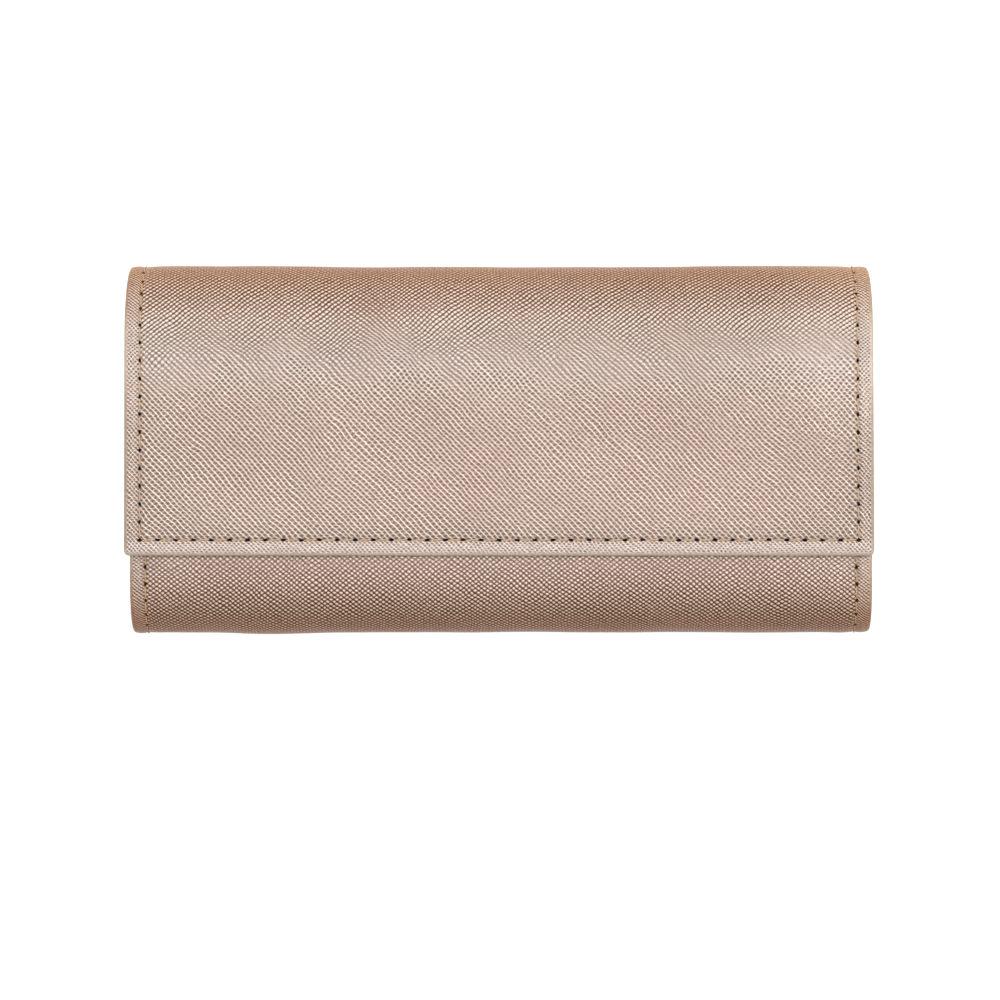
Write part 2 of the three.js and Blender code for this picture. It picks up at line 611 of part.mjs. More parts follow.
// The ring bar's sleeve: a tube closed by a rounded end, open at its sewn end
function ringSleeve() {
  const inner = RING_BAR_RADIUS - RING_BAR_SLEEVE;
  const roundingShares = [0, 0.5, 1];
  const rounding = roundingShares.map((share) => {
    const angle = (share * Math.PI) / 2;
    const out = RING_BAR_RADIUS - RING_BAR_END_RADIUS * (1 - Math.cos(angle));
    return [out, RING_BAR_LENGTH - RING_BAR_END_RADIUS * (1 - Math.sin(angle))];
  });
  return turned([
    [inner, 0],
    [RING_BAR_RADIUS, 0],
    ...rounding,
    [0, RING_BAR_LENGTH],
    [0, RING_BAR_LENGTH - RING_BAR_SLEEVE],
    [inner, RING_BAR_LENGTH - 2 * RING_BAR_SLEEVE],
    [inner, 0],
  ]).rotateY(Math.PI / 2);
}

function ringCore() {
  const radius = RING_BAR_RADIUS - RING_BAR_SLEEVE - SEAT_GAP;
  const length = RING_BAR_LENGTH - 2 * RING_BAR_SLEEVE - 2 * SEAT_GAP;
  return turned([
    [0, 0],
    [radius, 0],
    [radius, length],
    [0, length],
  ]).rotateY(Math.PI / 2);
}

// An L-shaped strap at an end of the bar: a leg against the bar's end and a foot along the lining.
// direction is +1 at the snapped end and -1 at the sewn end.
function ringStrap(direction, reach, footTop) {
  const width = [-RING_STRAP_WIDTH / 2, RING_STRAP_WIDTH / 2];
  const span = (a, b) => [direction * a, direction * b].sort((p, q) => p - q);
  const leg = box(span(0, RING_STRAP), width, [-RING_BAR_RADIUS / 2, footTop]);
  return leg.add(box(span(0, reach), width, [footTop - RING_STRAP, footTop]));
}

// A press stud's post, standing on its base. length is the post from base to head's end.
function pressStud(length) {
  return turned([
    [0, 0],
    [STUD_BASE_RADIUS, 0],
    [STUD_BASE_RADIUS, STUD_BASE],
    [STUD_POST_RADIUS, STUD_BASE],
    [STUD_POST_RADIUS, STUD_BASE + length - STUD_HEAD],
    [STUD_HEAD_RADIUS, STUD_BASE + length - STUD_HEAD / 2],
    [STUD_POST_RADIUS, STUD_BASE + length],
    [0, STUD_BASE + length],
  ]);
}

// A press stud's cap, with the socket in its underside and a domed top
function pressCap() {
  const domeShares = [0, 0.25, 0.5, 0.75];
  const dome = domeShares.map((share) => {
    const angle = (share * Math.PI) / 2;
    return [CAP_RADIUS * Math.cos(angle), CAP_HEIGHT - CAP_DOME * (1 - Math.sin(angle))];
  });
  return turned([
    [0, CAP_HEIGHT - CAP_SKIN],
    [CAP_HOLE_RADIUS, CAP_HEIGHT - CAP_SKIN],
    [CAP_HOLE_RADIUS, 0],
    [CAP_RADIUS, 0],
    ...dome,
    [0, CAP_HEIGHT],
  ]);
}

// A necklace tab's strap, folded double where it is sewn down, with the stud's hole near its tip
function tabStrap() {
  const half = TAB_WIDTH / 2;
  const tip = TAB_HINGE_Y - TAB_LENGTH;
  const outline = new THREE.Shape();
  outline.moveTo(-half, TAB_HINGE_Y);
  outline.lineTo(-half, tip + half);
  outline.absarc(0, tip + half, half, Math.PI, 2 * Math.PI);
  outline.lineTo(half, TAB_HINGE_Y);
  outline.closePath();
  const strap = solidOf(plate(outline, TAB_TOP_Z - TAB_THICKNESS, TAB_TOP_Z));
  const doubled = box([-half, half], [TAB_HINGE_Y - TAB_SEWN_END, TAB_HINGE_Y], [TAB_BOTTOM_Z, TAB_TOP_Z]);
  return strap.add(doubled).subtract(drill(CAP_HOLE_RADIUS, 0, TAB_TOP_Z + OVERRUN, 0, TAB_STUD_Y));
}

// The earring leaf, with two rows of holes for posts
function earringLeaf() {
  const tip = LEAF_HINGE_Y - LEAF_WIDTH;
  const holes = 1 + Math.floor((LEAF_LENGTH - 2 * LEAF_HOLE_FROM_SIDE) / LEAF_HOLE_PITCH);
  const outline = new THREE.Shape();
  outline.moveTo(LEAF_LENGTH / 2, LEAF_HINGE_Y);
  outline.lineTo(-LEAF_LENGTH / 2, LEAF_HINGE_Y);
  outline.lineTo(-LEAF_LENGTH / 2, tip + LEAF_CORNER);
  outline.absarc(LEAF_CORNER - LEAF_LENGTH / 2, tip + LEAF_CORNER, LEAF_CORNER, Math.PI, 1.5 * Math.PI);
  outline.lineTo(LEAF_LENGTH / 2 - LEAF_CORNER, tip);
  outline.absarc(LEAF_LENGTH / 2 - LEAF_CORNER, tip + LEAF_CORNER, LEAF_CORNER, 1.5 * Math.PI, 2 * Math.PI);
  outline.closePath();
  for (let row = 1; row <= LEAF_ROWS; row++) {
    const y = tip + (row * LEAF_WIDTH) / (LEAF_ROWS + 1);
    for (let hole = 0; hole < holes; hole++) {
      const x = (hole - (holes - 1) / 2) * LEAF_HOLE_PITCH;
      outline.holes.push(new THREE.Path().absarc(x, y, LEAF_HOLE_RADIUS, 0, 2 * Math.PI));
    }
  }
  const top = FLAP_LINING_Z - SEAT_GAP;
  return plate(outline, top - LEAF_THICKNESS, top);
}

// Base panel, with the pocket and the zip's fixed pieces
const base = new THREE.Group();
roll.add(base);
addPiece(base, 'base_cover', hemmedCover(basePanel), coverLeather);
addPiece(base, 'base_padding', padding(basePanel), paddingFoam);
addPiece(base, 'base_lining', lining(basePanel), liningSuede);
addPiece(base, 'pocket_panel', pocketPanel(), liningSuede);

const zip = new THREE.Group();
zip.position.set(0, ZIP_Y, ZIP_Z);
base.add(zip);
for (const [side, name] of [[1, 'far'], [-1, 'near']]) {
  const tape = new THREE.BoxGeometry(ZIP_TAPE_LENGTH, ZIP_TAPE_WIDTH, ZIP_TAPE);
  const middle = side * (ZIP_TAPE_EDGE + ZIP_TAPE_WIDTH / 2);
  addPiece(zip, `zip_tape_${name}`, tape, zipFabric, [0, middle, 0]);
  addPiece(zip, `zip_teeth_${name}`, teethRow(side), goldMetal);
}
const stopX = ZIP_CHAIN / 2 + ZIP_STOP / 2 + ZIP_CLEARANCE;
const topStopX = SLIDER_END_X + ZIP_STOP / 2 + ZIP_CLEARANCE;
addPiece(zip, 'zip_bottom_stop', zipStop(), goldMetal, [-stopX, 0, 0]);
addPiece(zip, 'zip_top_stop', zipStop(), goldMetal, [topStopX, 0, 0]);

// Zip slider and pull
const slider = new THREE.Group();
slider.position.set(SLIDER_END_X, ZIP_Y, ZIP_Z);
roll.add(slider);
addPiece(slider, 'zip_slider', sliderBody(), goldMetal);
addPiece(roll, 'zip_pull', zipPull(), goldMetal, [BAIL_X, ZIP_Y, BAIL_Z]);

// Necklace tabs
const tabs = new THREE.Group();
roll.add(tabs);
for (let tab = 0; tab < TAB_COUNT; tab++) {
  const x = (tab - (TAB_COUNT - 1) / 2) * TAB_SPACING;
  const number = tab + 1;
  const studZ = BASE_LINING_Z + LAYER_GAP;
  addPiece(tabs, `necklace_stud_${number}`, pressStud(STUD_POST), goldMetal, [x, TAB_STUD_Y, studZ]);
  addPiece(tabs, `necklace_tab_${number}`, tabStrap(), liningSuede, [x, 0, 0]);
  addPiece(tabs, `necklace_cap_${number}`, pressCap(), goldMetal, [x, TAB_STUD_Y, TAB_TOP_Z + LAYER_GAP]);
}

// Fold leaves, from the base's side of each fold to the end panel's side
const leafPlaces = ['lower', 'middle', 'upper'];
for (const [fold, width, name] of [[farFold, FLAP_WIDTH, 'far'], [nearFold, FRONT_WIDTH, 'near']]) {
  const folded = new THREE.Group();
  roll.add(folded);
  leafPlaces.forEach((place, leaf) => {
    const stretch = foldLeaf(fold, width, leaf);
    addPiece(folded, `${name}_fold_cover_${place}`, hemmedCover(stretch), coverLeather);
    addPiece(folded, `${name}_fold_lining_${place}`, foamBackedLining(stretch), liningSuede);
  });
}

// Flap
const flap = new THREE.Group();
roll.add(flap);
const flapCover = roundFreeEdge(hemmedCover(flapPanel), FLAP_WIDTH, FLAP_EDGE_Y, 1);
addPiece(flap, 'flap_cover', flapCover, coverLeather);
addPiece(flap, 'flap_padding', flapPadding(), paddingFoam);
addPiece(flap, 'flap_lining', flapLining(), liningSuede);
addPiece(flap, 'flap_magnet', magnet(), plainSteel, [0, SNAP_Y, magnetFaceZ]);
const magnetWasherZ = magnetBackZ + LAYER_GAP;
addPiece(flap, 'flap_magnet_washer', washer(SNAP_SHANK_RADIUS), plainSteel, [0, SNAP_Y, magnetWasherZ]);
addPiece(flap, 'earring_leaf', earringLeaf(), liningSuede);

// Front panel
const front = new THREE.Group();
roll.add(front);
const frontLining = roundFreeEdge(lining(frontPanel), FRONT_WIDTH, FRONT_TIP_Y, -1);
const frontWasherZ = FRONT_TOP - COVER - LAYER_GAP - SNAP_WASHER;
addPiece(front, 'front_cover', frontCover(), coverLeather);
addPiece(front, 'front_padding', frontPadding(), paddingFoam);
addPiece(front, 'front_lining', frontLining, liningSuede);
addPiece(front, 'front_snap_plate', snapPlate(), plainSteel, [0, SNAP_Y, FRONT_TOP]);
const frontWasher = washer(SNAP_SHANK_RADIUS + SEAT_GAP);
addPiece(front, 'front_snap_washer', frontWasher, plainSteel, [0, SNAP_Y, frontWasherZ]);

// Ring bar. Its stud points down from the front panel's lining into the cap under the strap.
const ringBar = new THREE.Group();
ringBar.position.set(0, RING_BAR_Y, RING_BAR_Z);
roll.add(ringBar);
const sewnEndX = -RING_BAR_LENGTH / 2;
const snappedEndX = RING_BAR_LENGTH / 2;
const studFootZ = FRONT_LINING_Z - LAYER_GAP;
const strapTopZ = studFootZ - STUD_BASE - SEAT_GAP;
const ringStudX = snappedEndX + RING_STRAP_REACH - CAP_RADIUS - SEAT_GAP;
const snappedStrap = ringStrap(1, RING_STRAP_REACH, strapTopZ - RING_BAR_Z).subtract(
  drill(CAP_HOLE_RADIUS, 0, RING_BAR_RADIUS + OVERRUN, ringStudX - snappedEndX - SEAT_GAP, 0),
);
const sewnStrap = ringStrap(-1, RING_STRAP_FOOT, FRONT_LINING_Z - SEAT_GAP - RING_BAR_Z);
addPiece(ringBar, 'ring_bar_core', ringCore(), paddingFoam, [sewnEndX + SEAT_GAP, 0, 0]);
addPiece(ringBar, 'ring_bar_sleeve', ringSleeve(), liningSuede, [sewnEndX, 0, 0]);
addPiece(ringBar, 'ring_bar_snap_strap', snappedStrap, liningSuede, [snappedEndX + SEAT_GAP, 0, 0]);
addPiece(ringBar, 'ring_bar_sewn_strap', sewnStrap, liningSuede, [sewnEndX - SEAT_GAP, 0, 0]);

// A press stud or cap turned over, so that it points down
function hangingPiece(name, geometry, x, topZ) {
  geometry.rotateX(Math.PI);
  addPiece(roll, name, geometry, goldMetal, [x, RING_BAR_Y, topZ]);
}
hangingPiece('ring_bar_cap', pressCap(), ringStudX, strapTopZ - RING_STRAP - LAYER_GAP);
hangingPiece('ring_bar_stud', pressStud(STUD_POST), ringStudX, studFootZ);

export default roll;
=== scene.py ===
# Looks of the jewelry roll: hemmed covers, suede linings, stitching, zipped pocket, ring bar,
# earring leaf and necklace tabs in detail, their materials, a floor, lights and the camera.
# Sizes are written in millimetres and turned into metres as a mesh is made.

import math

import bmesh
import bpy
import numpy as np
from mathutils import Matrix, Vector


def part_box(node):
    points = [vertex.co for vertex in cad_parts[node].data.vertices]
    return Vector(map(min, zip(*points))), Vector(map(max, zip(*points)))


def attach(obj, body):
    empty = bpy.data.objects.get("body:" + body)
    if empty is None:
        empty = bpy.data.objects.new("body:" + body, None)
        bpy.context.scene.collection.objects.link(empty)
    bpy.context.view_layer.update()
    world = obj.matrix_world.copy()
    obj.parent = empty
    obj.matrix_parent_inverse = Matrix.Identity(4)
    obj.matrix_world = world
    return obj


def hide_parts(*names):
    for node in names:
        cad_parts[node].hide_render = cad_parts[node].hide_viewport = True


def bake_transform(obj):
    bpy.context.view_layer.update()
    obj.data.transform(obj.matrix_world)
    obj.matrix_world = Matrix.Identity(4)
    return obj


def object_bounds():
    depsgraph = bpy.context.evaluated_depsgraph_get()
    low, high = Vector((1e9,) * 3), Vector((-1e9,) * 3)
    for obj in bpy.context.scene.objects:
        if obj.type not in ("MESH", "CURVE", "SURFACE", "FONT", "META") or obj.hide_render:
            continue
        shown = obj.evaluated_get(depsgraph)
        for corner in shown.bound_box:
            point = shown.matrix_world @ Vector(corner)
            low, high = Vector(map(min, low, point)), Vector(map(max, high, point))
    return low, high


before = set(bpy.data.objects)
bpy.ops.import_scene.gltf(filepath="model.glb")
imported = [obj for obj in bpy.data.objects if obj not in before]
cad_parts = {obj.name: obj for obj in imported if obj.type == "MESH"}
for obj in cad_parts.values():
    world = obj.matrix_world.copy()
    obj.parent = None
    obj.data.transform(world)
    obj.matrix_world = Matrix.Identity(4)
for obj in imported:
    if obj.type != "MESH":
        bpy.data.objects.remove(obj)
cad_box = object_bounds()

MM = 0.001


def corners(node):
    """A node's lowest and highest corners."""
    return [np.array(corner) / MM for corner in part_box(node)]


def centre(node):
    low, high = corners(node)
    return (low + high) / 2


# The closed roll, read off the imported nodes
CLOSED_HEIGHT = corners("flap_cover")[1][2]
FAR_RADIUS = CLOSED_HEIGHT / 2
NEAR_RADIUS = corners("front_cover")[1][2] / 2
FAR_Y = cad_box[1].y / MM - FAR_RADIUS
NEAR_Y = cad_box[0].y / MM + NEAR_RADIUS
FLAP_EDGE_Y = corners("flap_cover")[0][1]
FRONT_TIP_Y = corners("front_cover")[1][1]
SNAP_Y = centre("flap_magnet")[1]

# Stations along the strip, from the front panel's tip round to the flap's free edge
NEAR_TOP = FRONT_TIP_Y - NEAR_Y
NEAR_MIDDLE = NEAR_TOP + math.pi * NEAR_RADIUS / 2
NEAR_BOTTOM = NEAR_TOP + math.pi * NEAR_RADIUS
FAR_BOTTOM = NEAR_BOTTOM + FAR_Y - NEAR_Y
FAR_MIDDLE = FAR_BOTTOM + math.pi * FAR_RADIUS / 2
FAR_TOP = FAR_BOTTOM + math.pi * FAR_RADIUS
STRIP_END = FAR_TOP + FAR_Y - FLAP_EDGE_Y
BASE_MIDDLE = (NEAR_BOTTOM + FAR_BOTTOM) / 2
SNAP_STATION = FAR_TOP + FAR_Y - SNAP_Y

# Half widths at named stations, a little uneven as in the photograph
HALF = 100.0
EDGE_STATIONS = [0, NEAR_TOP, NEAR_TOP + 25, NEAR_BOTTOM, FAR_BOTTOM, FAR_TOP - 30, FAR_TOP, STRIP_END]
LEFT_EDGE = [98.8, 98.8, 99.0, 99.6, 99.8, 99.5, 99.8, 99.9]
RIGHT_EDGE = [99.7, 99.8, 100.2, 100.0, 99.8, 99.4, 99.6, 99.9]

# Layers, as depths below the cover's outer face
COVER = 1.2
HEM_BOTTOM = 3.4
HEM_TOP = 2.4
HEM_WIDTH = 7.5
LINING_BACK = 3.6
LINING_FACE = 4.4
PADDING_BACK = 1.5
RIM = 1.0  # radius of the turned edge, and the lining's inset
CORNER = 1.25
RINGS_LIFTED = 5  # rings of the turned edge that the outer face's relief reaches
PAST_HEM = (HEM_WIDTH + 0.3, HEM_WIDTH + 1.5)  # insets over which the padding reaches its depth

# Stitching
STITCH_INSET = 4.2
STITCH_PITCH = 4.77
HOLE_DEPTH = 0.5
HOLE_HALF_LENGTH = 0.5
END_HOLE_HALF_LENGTH = 0.68
HOLE_HALF_WIDTH = 0.33
THREAD = 0.2
THREAD_RISE = 1.2  # of the thread's radius, above the face between two holes
THREAD_DIP = 1.0
THREAD_SLANT = 0.14
THREAD_SIDES = 6
THREAD_STEPS = 8
FINE_PITCH = 3.2  # of the seams inside the roll
FINE_THREAD = 0.2

# The zipped pocket
POCKET_FLANGE = 2.5
POCKET_SLOPE = 4.6
POCKET_PANEL = 0.8
POCKET_PUFF = 0.6
POCKET_COLUMN_STEP = 2.2
POCKET_ROW_STEP = 20
LIP_CLEAR = 1.7  # from the lip's middle to the next column
POCKET_END = 7.0  # without gathers
POCKET_FREE = (1.5, 4)  # gaps from the mouth's edge over which the face comes free
POCKET_CREASE = 0.3
CROSS_CREASE = 0.6
SLOPE_CREASE = 0.45
SLOPE_GATHER = 0.5
GATHER = 0.5
GATHER_PITCH = 7.5
GATHER_WANDER = 0.35
SEAM_DIP = 0.2
SEAM_DIP_HALF = 0.5
MOUTH_EDGE = 0.4
FLANGE_STITCH = 1.2
TAPES_MEET = 2.6  # beyond each of the zip's stops
TAPES_APART = 0.12
TAPES_LEAN = 0.2  # beyond a stop, where they start to come together
TAPE_WIDTH = 7.0
TAPE_COLUMNS = 106
TAPE_EDGE = 0.15
TAPE_EDGE_SHARE = 0.6
TAPE_CORD = (0.6, 0.45)  # distance from the inner edge and half width
TAPE_PUCKER = (4.5, 1.6)
CORD_RISE = 0.1
PUCKER_RISE = 0.03
TAPE_WAVE = 0.02
MOUTH_END = 76.5
MOUTH_HALF = 4.5
MOUTH_STITCH = 1.5

# Straps, ring bar, necklace tabs and earring leaf
STRAP = 1.2
STRAP_TURN = 1.3
STRAP_STITCH = 1.2
STRAP_STEP = 1.2
STRAP_SLIMMER = 0.05
STRAP_EDGE = 0.3
STRAP_EDGE_SHARE = 0.8
STRAP_DIP = 0.1
STRAP_DIP_HALF = 0.35
STRAP_TIP = 0.03  # left off, so that the last row still has some width
STRAP_LAST_ROW = 0.05  # from the tip, closer than any other row
STITCH_START = 2.0  # from a strap's sewn end
THREAD_SUNK = 0.15
STUD_HOLE = 2.0
STUD_CLEAR = 0.4
STUD_REACH = 1.2
MAGNET_GAP = 0.15
MAGNET_BESIDE = 1.3
MAGNET_CLEAR = 1.5
MAGNET_REACH = 3.5
TAB = 1.0
TAB_SEWN_END = 4.0
TAB_STEP = 0.4  # over which the doubled end thins to one layer
TAB_ARCH = (9, 4)  # station and half length
TAB_ARCH_RISE = 0.1
BAR_SEAM = 1.0  # angle from the top
BAR_SEAM_STITCH = 0.9  # beside the seam
BAR_SEAM_ENDS = 4.0
BAR_SIDES = 96
BAR_STEP = 2.6
BAR_EDGE = 2.0
BAR_GATHERS = 14
BAR_GATHER = 0.42
BAR_GATHER_ENDS = (0.3, 11)  # from an end, where the gathers are full and where they are gone
BAR_SEAM_LINE = (0.32, 0.5)  # depth and half width
BAR_SEAM_TROUGH = (0.1, 1.6)
BAR_CREASE = 0.12
BAR_CREASE_DROP = 0.08
BAR_CREASE_END = 4
CAP_GATHER = 0.3
CAP_GATHER_RING = (2.8, 1.6)  # radius and half width
AT_END = 0.01
BAR_TO_STRAP = 0.25
LEAF_STITCH = 1.6
LEAF_CORNER = 4.0
LEAF_HOLE = 1.0
LEAF_HOLES = 12
LEAF_HOLE_PITCH = 13.0
LEAF_HOLE_REACH = 2.4  # of the hole's radius, to where the grid is straight again
LEAF_STEP = 200  # longer than the leaf, so that only the named grid lines are made
LEAF_BETWEEN_HOLES = [4.5, 6.5, 8.5]
LEAF_MIDDLE_ROW = 4.1  # from the first row of holes
LEAF_SIDE_ROW = 5.2
LEAF_HALF = 0.42
LEAF_PUFF = 0.12
LEAF_PUFF_REACH = 2
LEAF_EDGE = 0.3
LEAF_DIP = (0.16, 0.4)  # depth and half width of the stitch line
LEAF_HOLE_DIP = (0.1, 0.5)
LEAF_SAG = 0.2
LEAF_SAG_FROM = (2, 14)  # from the sewn edge
LEAF_WAVE = 0.1
LEAF_WAVE_FROM = (1, 10)
LEAF_THREAD_LIFT = 0.36

# Waves of the soft faces, each as its length and the seed of its random draws
WAVE_COUNT = 8
WAVE_SPREAD = (0.7, 1.5)
COVER_WAVES = (42, 3)
COVER_RIPPLES = (17, 5)
LINING_WAVES = (14, 8)
POCKET_WAVES = (9, 21)
POCKET_CREASES = (5, 22)
GATHER_WAVES = (15, 23)
TAPE_WAVES = (12, 31)
BAR_WAVES = (11, 41)
LEAF_WAVES = (36, 51)

# Relief of the outer face
PILLOW = 0.16
GROOVE = 0.34
GROOVE_HALF = 0.5
SHOULDER = 0.2
SHOULDER_HALF = 1.7
PUFF = 0.3
PUFF_REACH = 6.0
WAVE = 0.07
WAVE_REACH = 10.0
RIPPLE_SHARE = 0.5
ARCH = 0.16
ARCH_LENGTH = 33.0
ARCH_Y = 13.0
ARCH_MIDDLE_Y = 2.0
ARCH_HALF = 22.0
BASE_EASE = 9.0
OUTERMOST_HALF = 9.0
OUTERMOST_SHALLOWER = 0.6
FAR_BULGE = 0.35
FAR_BULGE_FROM = (30, 80)
FAR_BULGE_HALF = 16.0
NEAR_BULGES = [(0.5, -62, 13), (0.4, -98, 7), (0.25, 93, 7)]  # height, place across and half width
NEAR_BULGE_HALF = 13.0

# Relief of the linings
LINING_GROOVE = 0.25
LINING_GROOVE_HALF = 0.6
LINING_PUFF = 0.14
LINING_PUFF_REACH = 5.0
LINING_WAVE = 0.03
LINING_EDGE = 0.3
LINING_FLATTER = 0.6  # share of its puff that the base's lining is without
FOLD_EASE = (-1, 3)  # from a fold's end, over which the padding ends

# Meshes
TINY = 1e-9
WELD = 0.002
SHARP_ANGLE = 48
HOLE_LINES = 9  # grid lines across a round hole


# Shapes of numbers

def ease(value, low, high):
    """0 up to low, 1 from high, and smooth between them."""
    share = np.clip((value - low) / (high - low), 0, 1)
    return share * share * (3 - 2 * share)


def bell(value, middle, half):
    return np.exp(-(((value - middle) / half) ** 2))


def soft_min(*distances):
    """The least distance, rounded where two are alike."""
    softness = 0.3
    return -softness * np.log(sum(np.exp(-d / softness) for d in distances))


def rounding(inset, radius):
    """How far a rounded edge lies below the face, as a number below zero."""
    gap = np.clip(radius - inset, 0, radius)
    return np.sqrt(radius * radius - gap * gap) - radius


def waves(across, along, length, seed):
    picker = np.random.default_rng(seed)
    total = 0
    for _ in range(WAVE_COUNT):
        turn = picker.uniform(0, 2 * math.pi)
        rate = 2 * math.pi / (length * picker.uniform(*WAVE_SPREAD))
        shift = picker.uniform(0, 2 * math.pi)
        total = total + np.cos(rate * (math.cos(turn) * across + math.sin(turn) * along) + shift)
    return total / math.sqrt(WAVE_COUNT)


def unit(vectors):
    return vectors / np.linalg.norm(vectors, axis=-1)[..., None]


def cell_middles(grid):
    return (grid[:-1, :-1] + grid[1:, 1:]) / 2


# The strip's own coordinates: across it, along it and out of the cover's outer face

def strip_point(across, along, out):
    left = np.interp(along, EDGE_STATIONS, LEFT_EDGE)
    right = np.interp(along, EDGE_STATIONS, RIGHT_EDGE)
    x = across / HALF * np.where(across < 0, left, right)
    turned = np.clip(along - NEAR_TOP, 0, math.pi * NEAR_RADIUS) / NEAR_RADIUS
    angle = math.pi / 2 + turned
    flat = np.maximum(NEAR_TOP - along, 0) + np.maximum(along - NEAR_BOTTOM, 0)
    near_y = NEAR_Y + (NEAR_RADIUS + out) * np.cos(angle) + flat
    near_z = NEAR_RADIUS + (NEAR_RADIUS + out) * np.sin(angle)
    turned = np.clip(along - FAR_BOTTOM, 0, math.pi * FAR_RADIUS) / FAR_RADIUS
    angle = turned - math.pi / 2
    flat = np.maximum(FAR_BOTTOM - along, 0) + np.maximum(along - FAR_TOP, 0)
    far_y = FAR_Y + (FAR_RADIUS + out) * np.cos(angle) - flat
    far_z = FAR_RADIUS + (FAR_RADIUS + out) * np.sin(angle)
    near = along < BASE_MIDDLE
    return np.stack([x, np.where(near, near_y, far_y), np.where(near, near_z, far_z)], -1)


def strip_normal(along):
    step = 0.01
    outward = strip_point(0 * along, along, step + 0 * along) - strip_point(0 * along, along, 0 * along)
    return outward / step


def inset_of(across, along):
    return soft_min(HALF - np.abs(across), along, STRIP_END - along)


def on_base(along):
    leaving = ease(along, FAR_BOTTOM, FAR_BOTTOM + BASE_EASE)
    return ease(along, NEAR_BOTTOM - BASE_EASE, NEAR_BOTTOM) * (1 - leaving)


def fold_bulge(across, along):
    """The folds' uneven outermost lines, read off the photograph's outline."""
    far = FAR_BULGE * ease(np.abs(across), *FAR_BULGE_FROM) * bell(along, FAR_MIDDLE, FAR_BULGE_HALF)
    near = sum(height * bell(across, place, half) for height, place, half in NEAR_BULGES)
    return far + near * bell(along, NEAR_MIDDLE, NEAR_BULGE_HALF)


def outermost(along):
    """1 at the outermost line of each fold."""
    return bell(along, NEAR_MIDDLE, OUTERMOST_HALF) + bell(along, FAR_MIDDLE, OUTERMOST_HALF)


def cover_relief(across, along):
    """How far the outer face stands proud of the strip's own face."""
    inset = inset_of(across, along)
    pillow = PILLOW * np.sin(math.pi * np.clip((inset - RIM) / (STITCH_INSET - RIM), 0, 1))
    drawn_in = 1 - OUTERMOST_SHALLOWER * outermost(along)
    groove = GROOVE * bell(inset, STITCH_INSET, GROOVE_HALF) * drawn_in
    shoulder = SHOULDER * bell(inset, STITCH_INSET, SHOULDER_HALF) * drawn_in
    inner = np.maximum(inset - STITCH_INSET, 0)
    puff = PUFF * (1 - np.exp(-inner / PUFF_REACH))
    y = FAR_Y - (along - FAR_TOP)
    arch = ARCH * np.cos(2 * math.pi * (y - ARCH_Y) / ARCH_LENGTH)
    arch = arch * bell(y, ARCH_MIDDLE_Y, ARCH_HALF) * (along > FAR_BOTTOM)
    ripples = RIPPLE_SHARE * waves(across, along, *COVER_RIPPLES)
    wobble = WAVE * (waves(across, along, *COVER_WAVES) + ripples)
    free = ease(inset, STITCH_INSET, STITCH_INSET + WAVE_REACH)
    relief = pillow - groove - shoulder + puff + (arch + wobble) * free + fold_bulge(across, along)
    return np.where(relief > 0, relief * (1 - on_base(along)), relief)


def lining_relief(across, along):
    inset = inset_of(across, along)
    groove = LINING_GROOVE * bell(inset, STITCH_INSET, LINING_GROOVE_HALF)
    inner = np.maximum(inset - STITCH_INSET, 0)
    puff = LINING_PUFF * (1 - np.exp(-inner / LINING_PUFF_REACH)) * (1 - on_base(along) * LINING_FLATTER)
    wobble = LINING_WAVE * waves(across, along, *LINING_WAVES)
    return puff - groove + wobble + rounding(inset - RIM, LINING_EDGE)


# Grid lines of the strip, with rows and columns at every needle hole

def hole_stations(low, high):
    return np.linspace(low, high, round((high - low) / STITCH_PITCH) + 1)


SIDE_HOLES = hole_stations(STITCH_INSET, STRIP_END - STITCH_INSET)
END_HOLES = hole_stations(STITCH_INSET - HALF, HALF - STITCH_INSET)
EDGE_INSETS = [RIM, 1.3, 1.8, 2.4, 3.0, 3.5, 3.95, STITCH_INSET, 4.45, 4.9, 5.5]
CLEAR_OF_EDGE = EDGE_INSETS[-1] + 0.3
PITCH_SHARES = [0, 0.09, 0.36, 0.64, 0.91]
SEAM_ROW = 0.12
NEARLY = 0.001
AT_HOLE = 0.02
SIDE_BAND = 8.0
LINING_MIDDLE = np.linspace(-90, 90, 41)


def sorted_lines(*groups):
    """All grid lines of some groups in order, each once."""
    return np.unique(np.round(np.concatenate(groups), 4))


def lines(holes, low, high):
    """Grid lines from low to high: edge lines, and lines round each needle hole between them."""
    edge = [low + inset for inset in EDGE_INSETS] + [high - inset for inset in EDGE_INSETS]
    inner = np.concatenate([holes[:-1] + share * np.diff(holes) for share in PITCH_SHARES])
    inner = inner[(inner > low + CLEAR_OF_EDGE) & (inner < high - CLEAR_OF_EDGE)]
    return sorted_lines(edge, inner)


ROWS = lines(SIDE_HOLES, 0, STRIP_END)
COLUMNS = lines(END_HOLES, -HALF, HALF)
LINING_COLUMNS = sorted_lines([line for line in COLUMNS if HALF - abs(line) < SIDE_BAND], LINING_MIDDLE)


def rows_between(start, end):
    inner = ROWS[(ROWS > start + 2 * SEAM_ROW) & (ROWS < end - 2 * SEAM_ROW)]
    low = [RIM] if start == 0 else [start, start + SEAM_ROW]
    high = [STRIP_END - RIM] if end == STRIP_END else [end - SEAM_ROW, end]
    return sorted_lines(low, inner, high)


def is_hole(across, along):
    def near(value, targets):
        return np.abs(value[..., None] - np.asarray(targets)).min(-1) < AT_HOLE

    side_line = near(HALF - np.abs(across), [STITCH_INSET])
    end_line = near(along, [STITCH_INSET, STRIP_END - STITCH_INSET])
    return (side_line & near(along, SIDE_HOLES)) | (end_line & near(across, END_HOLES))


# Meshes

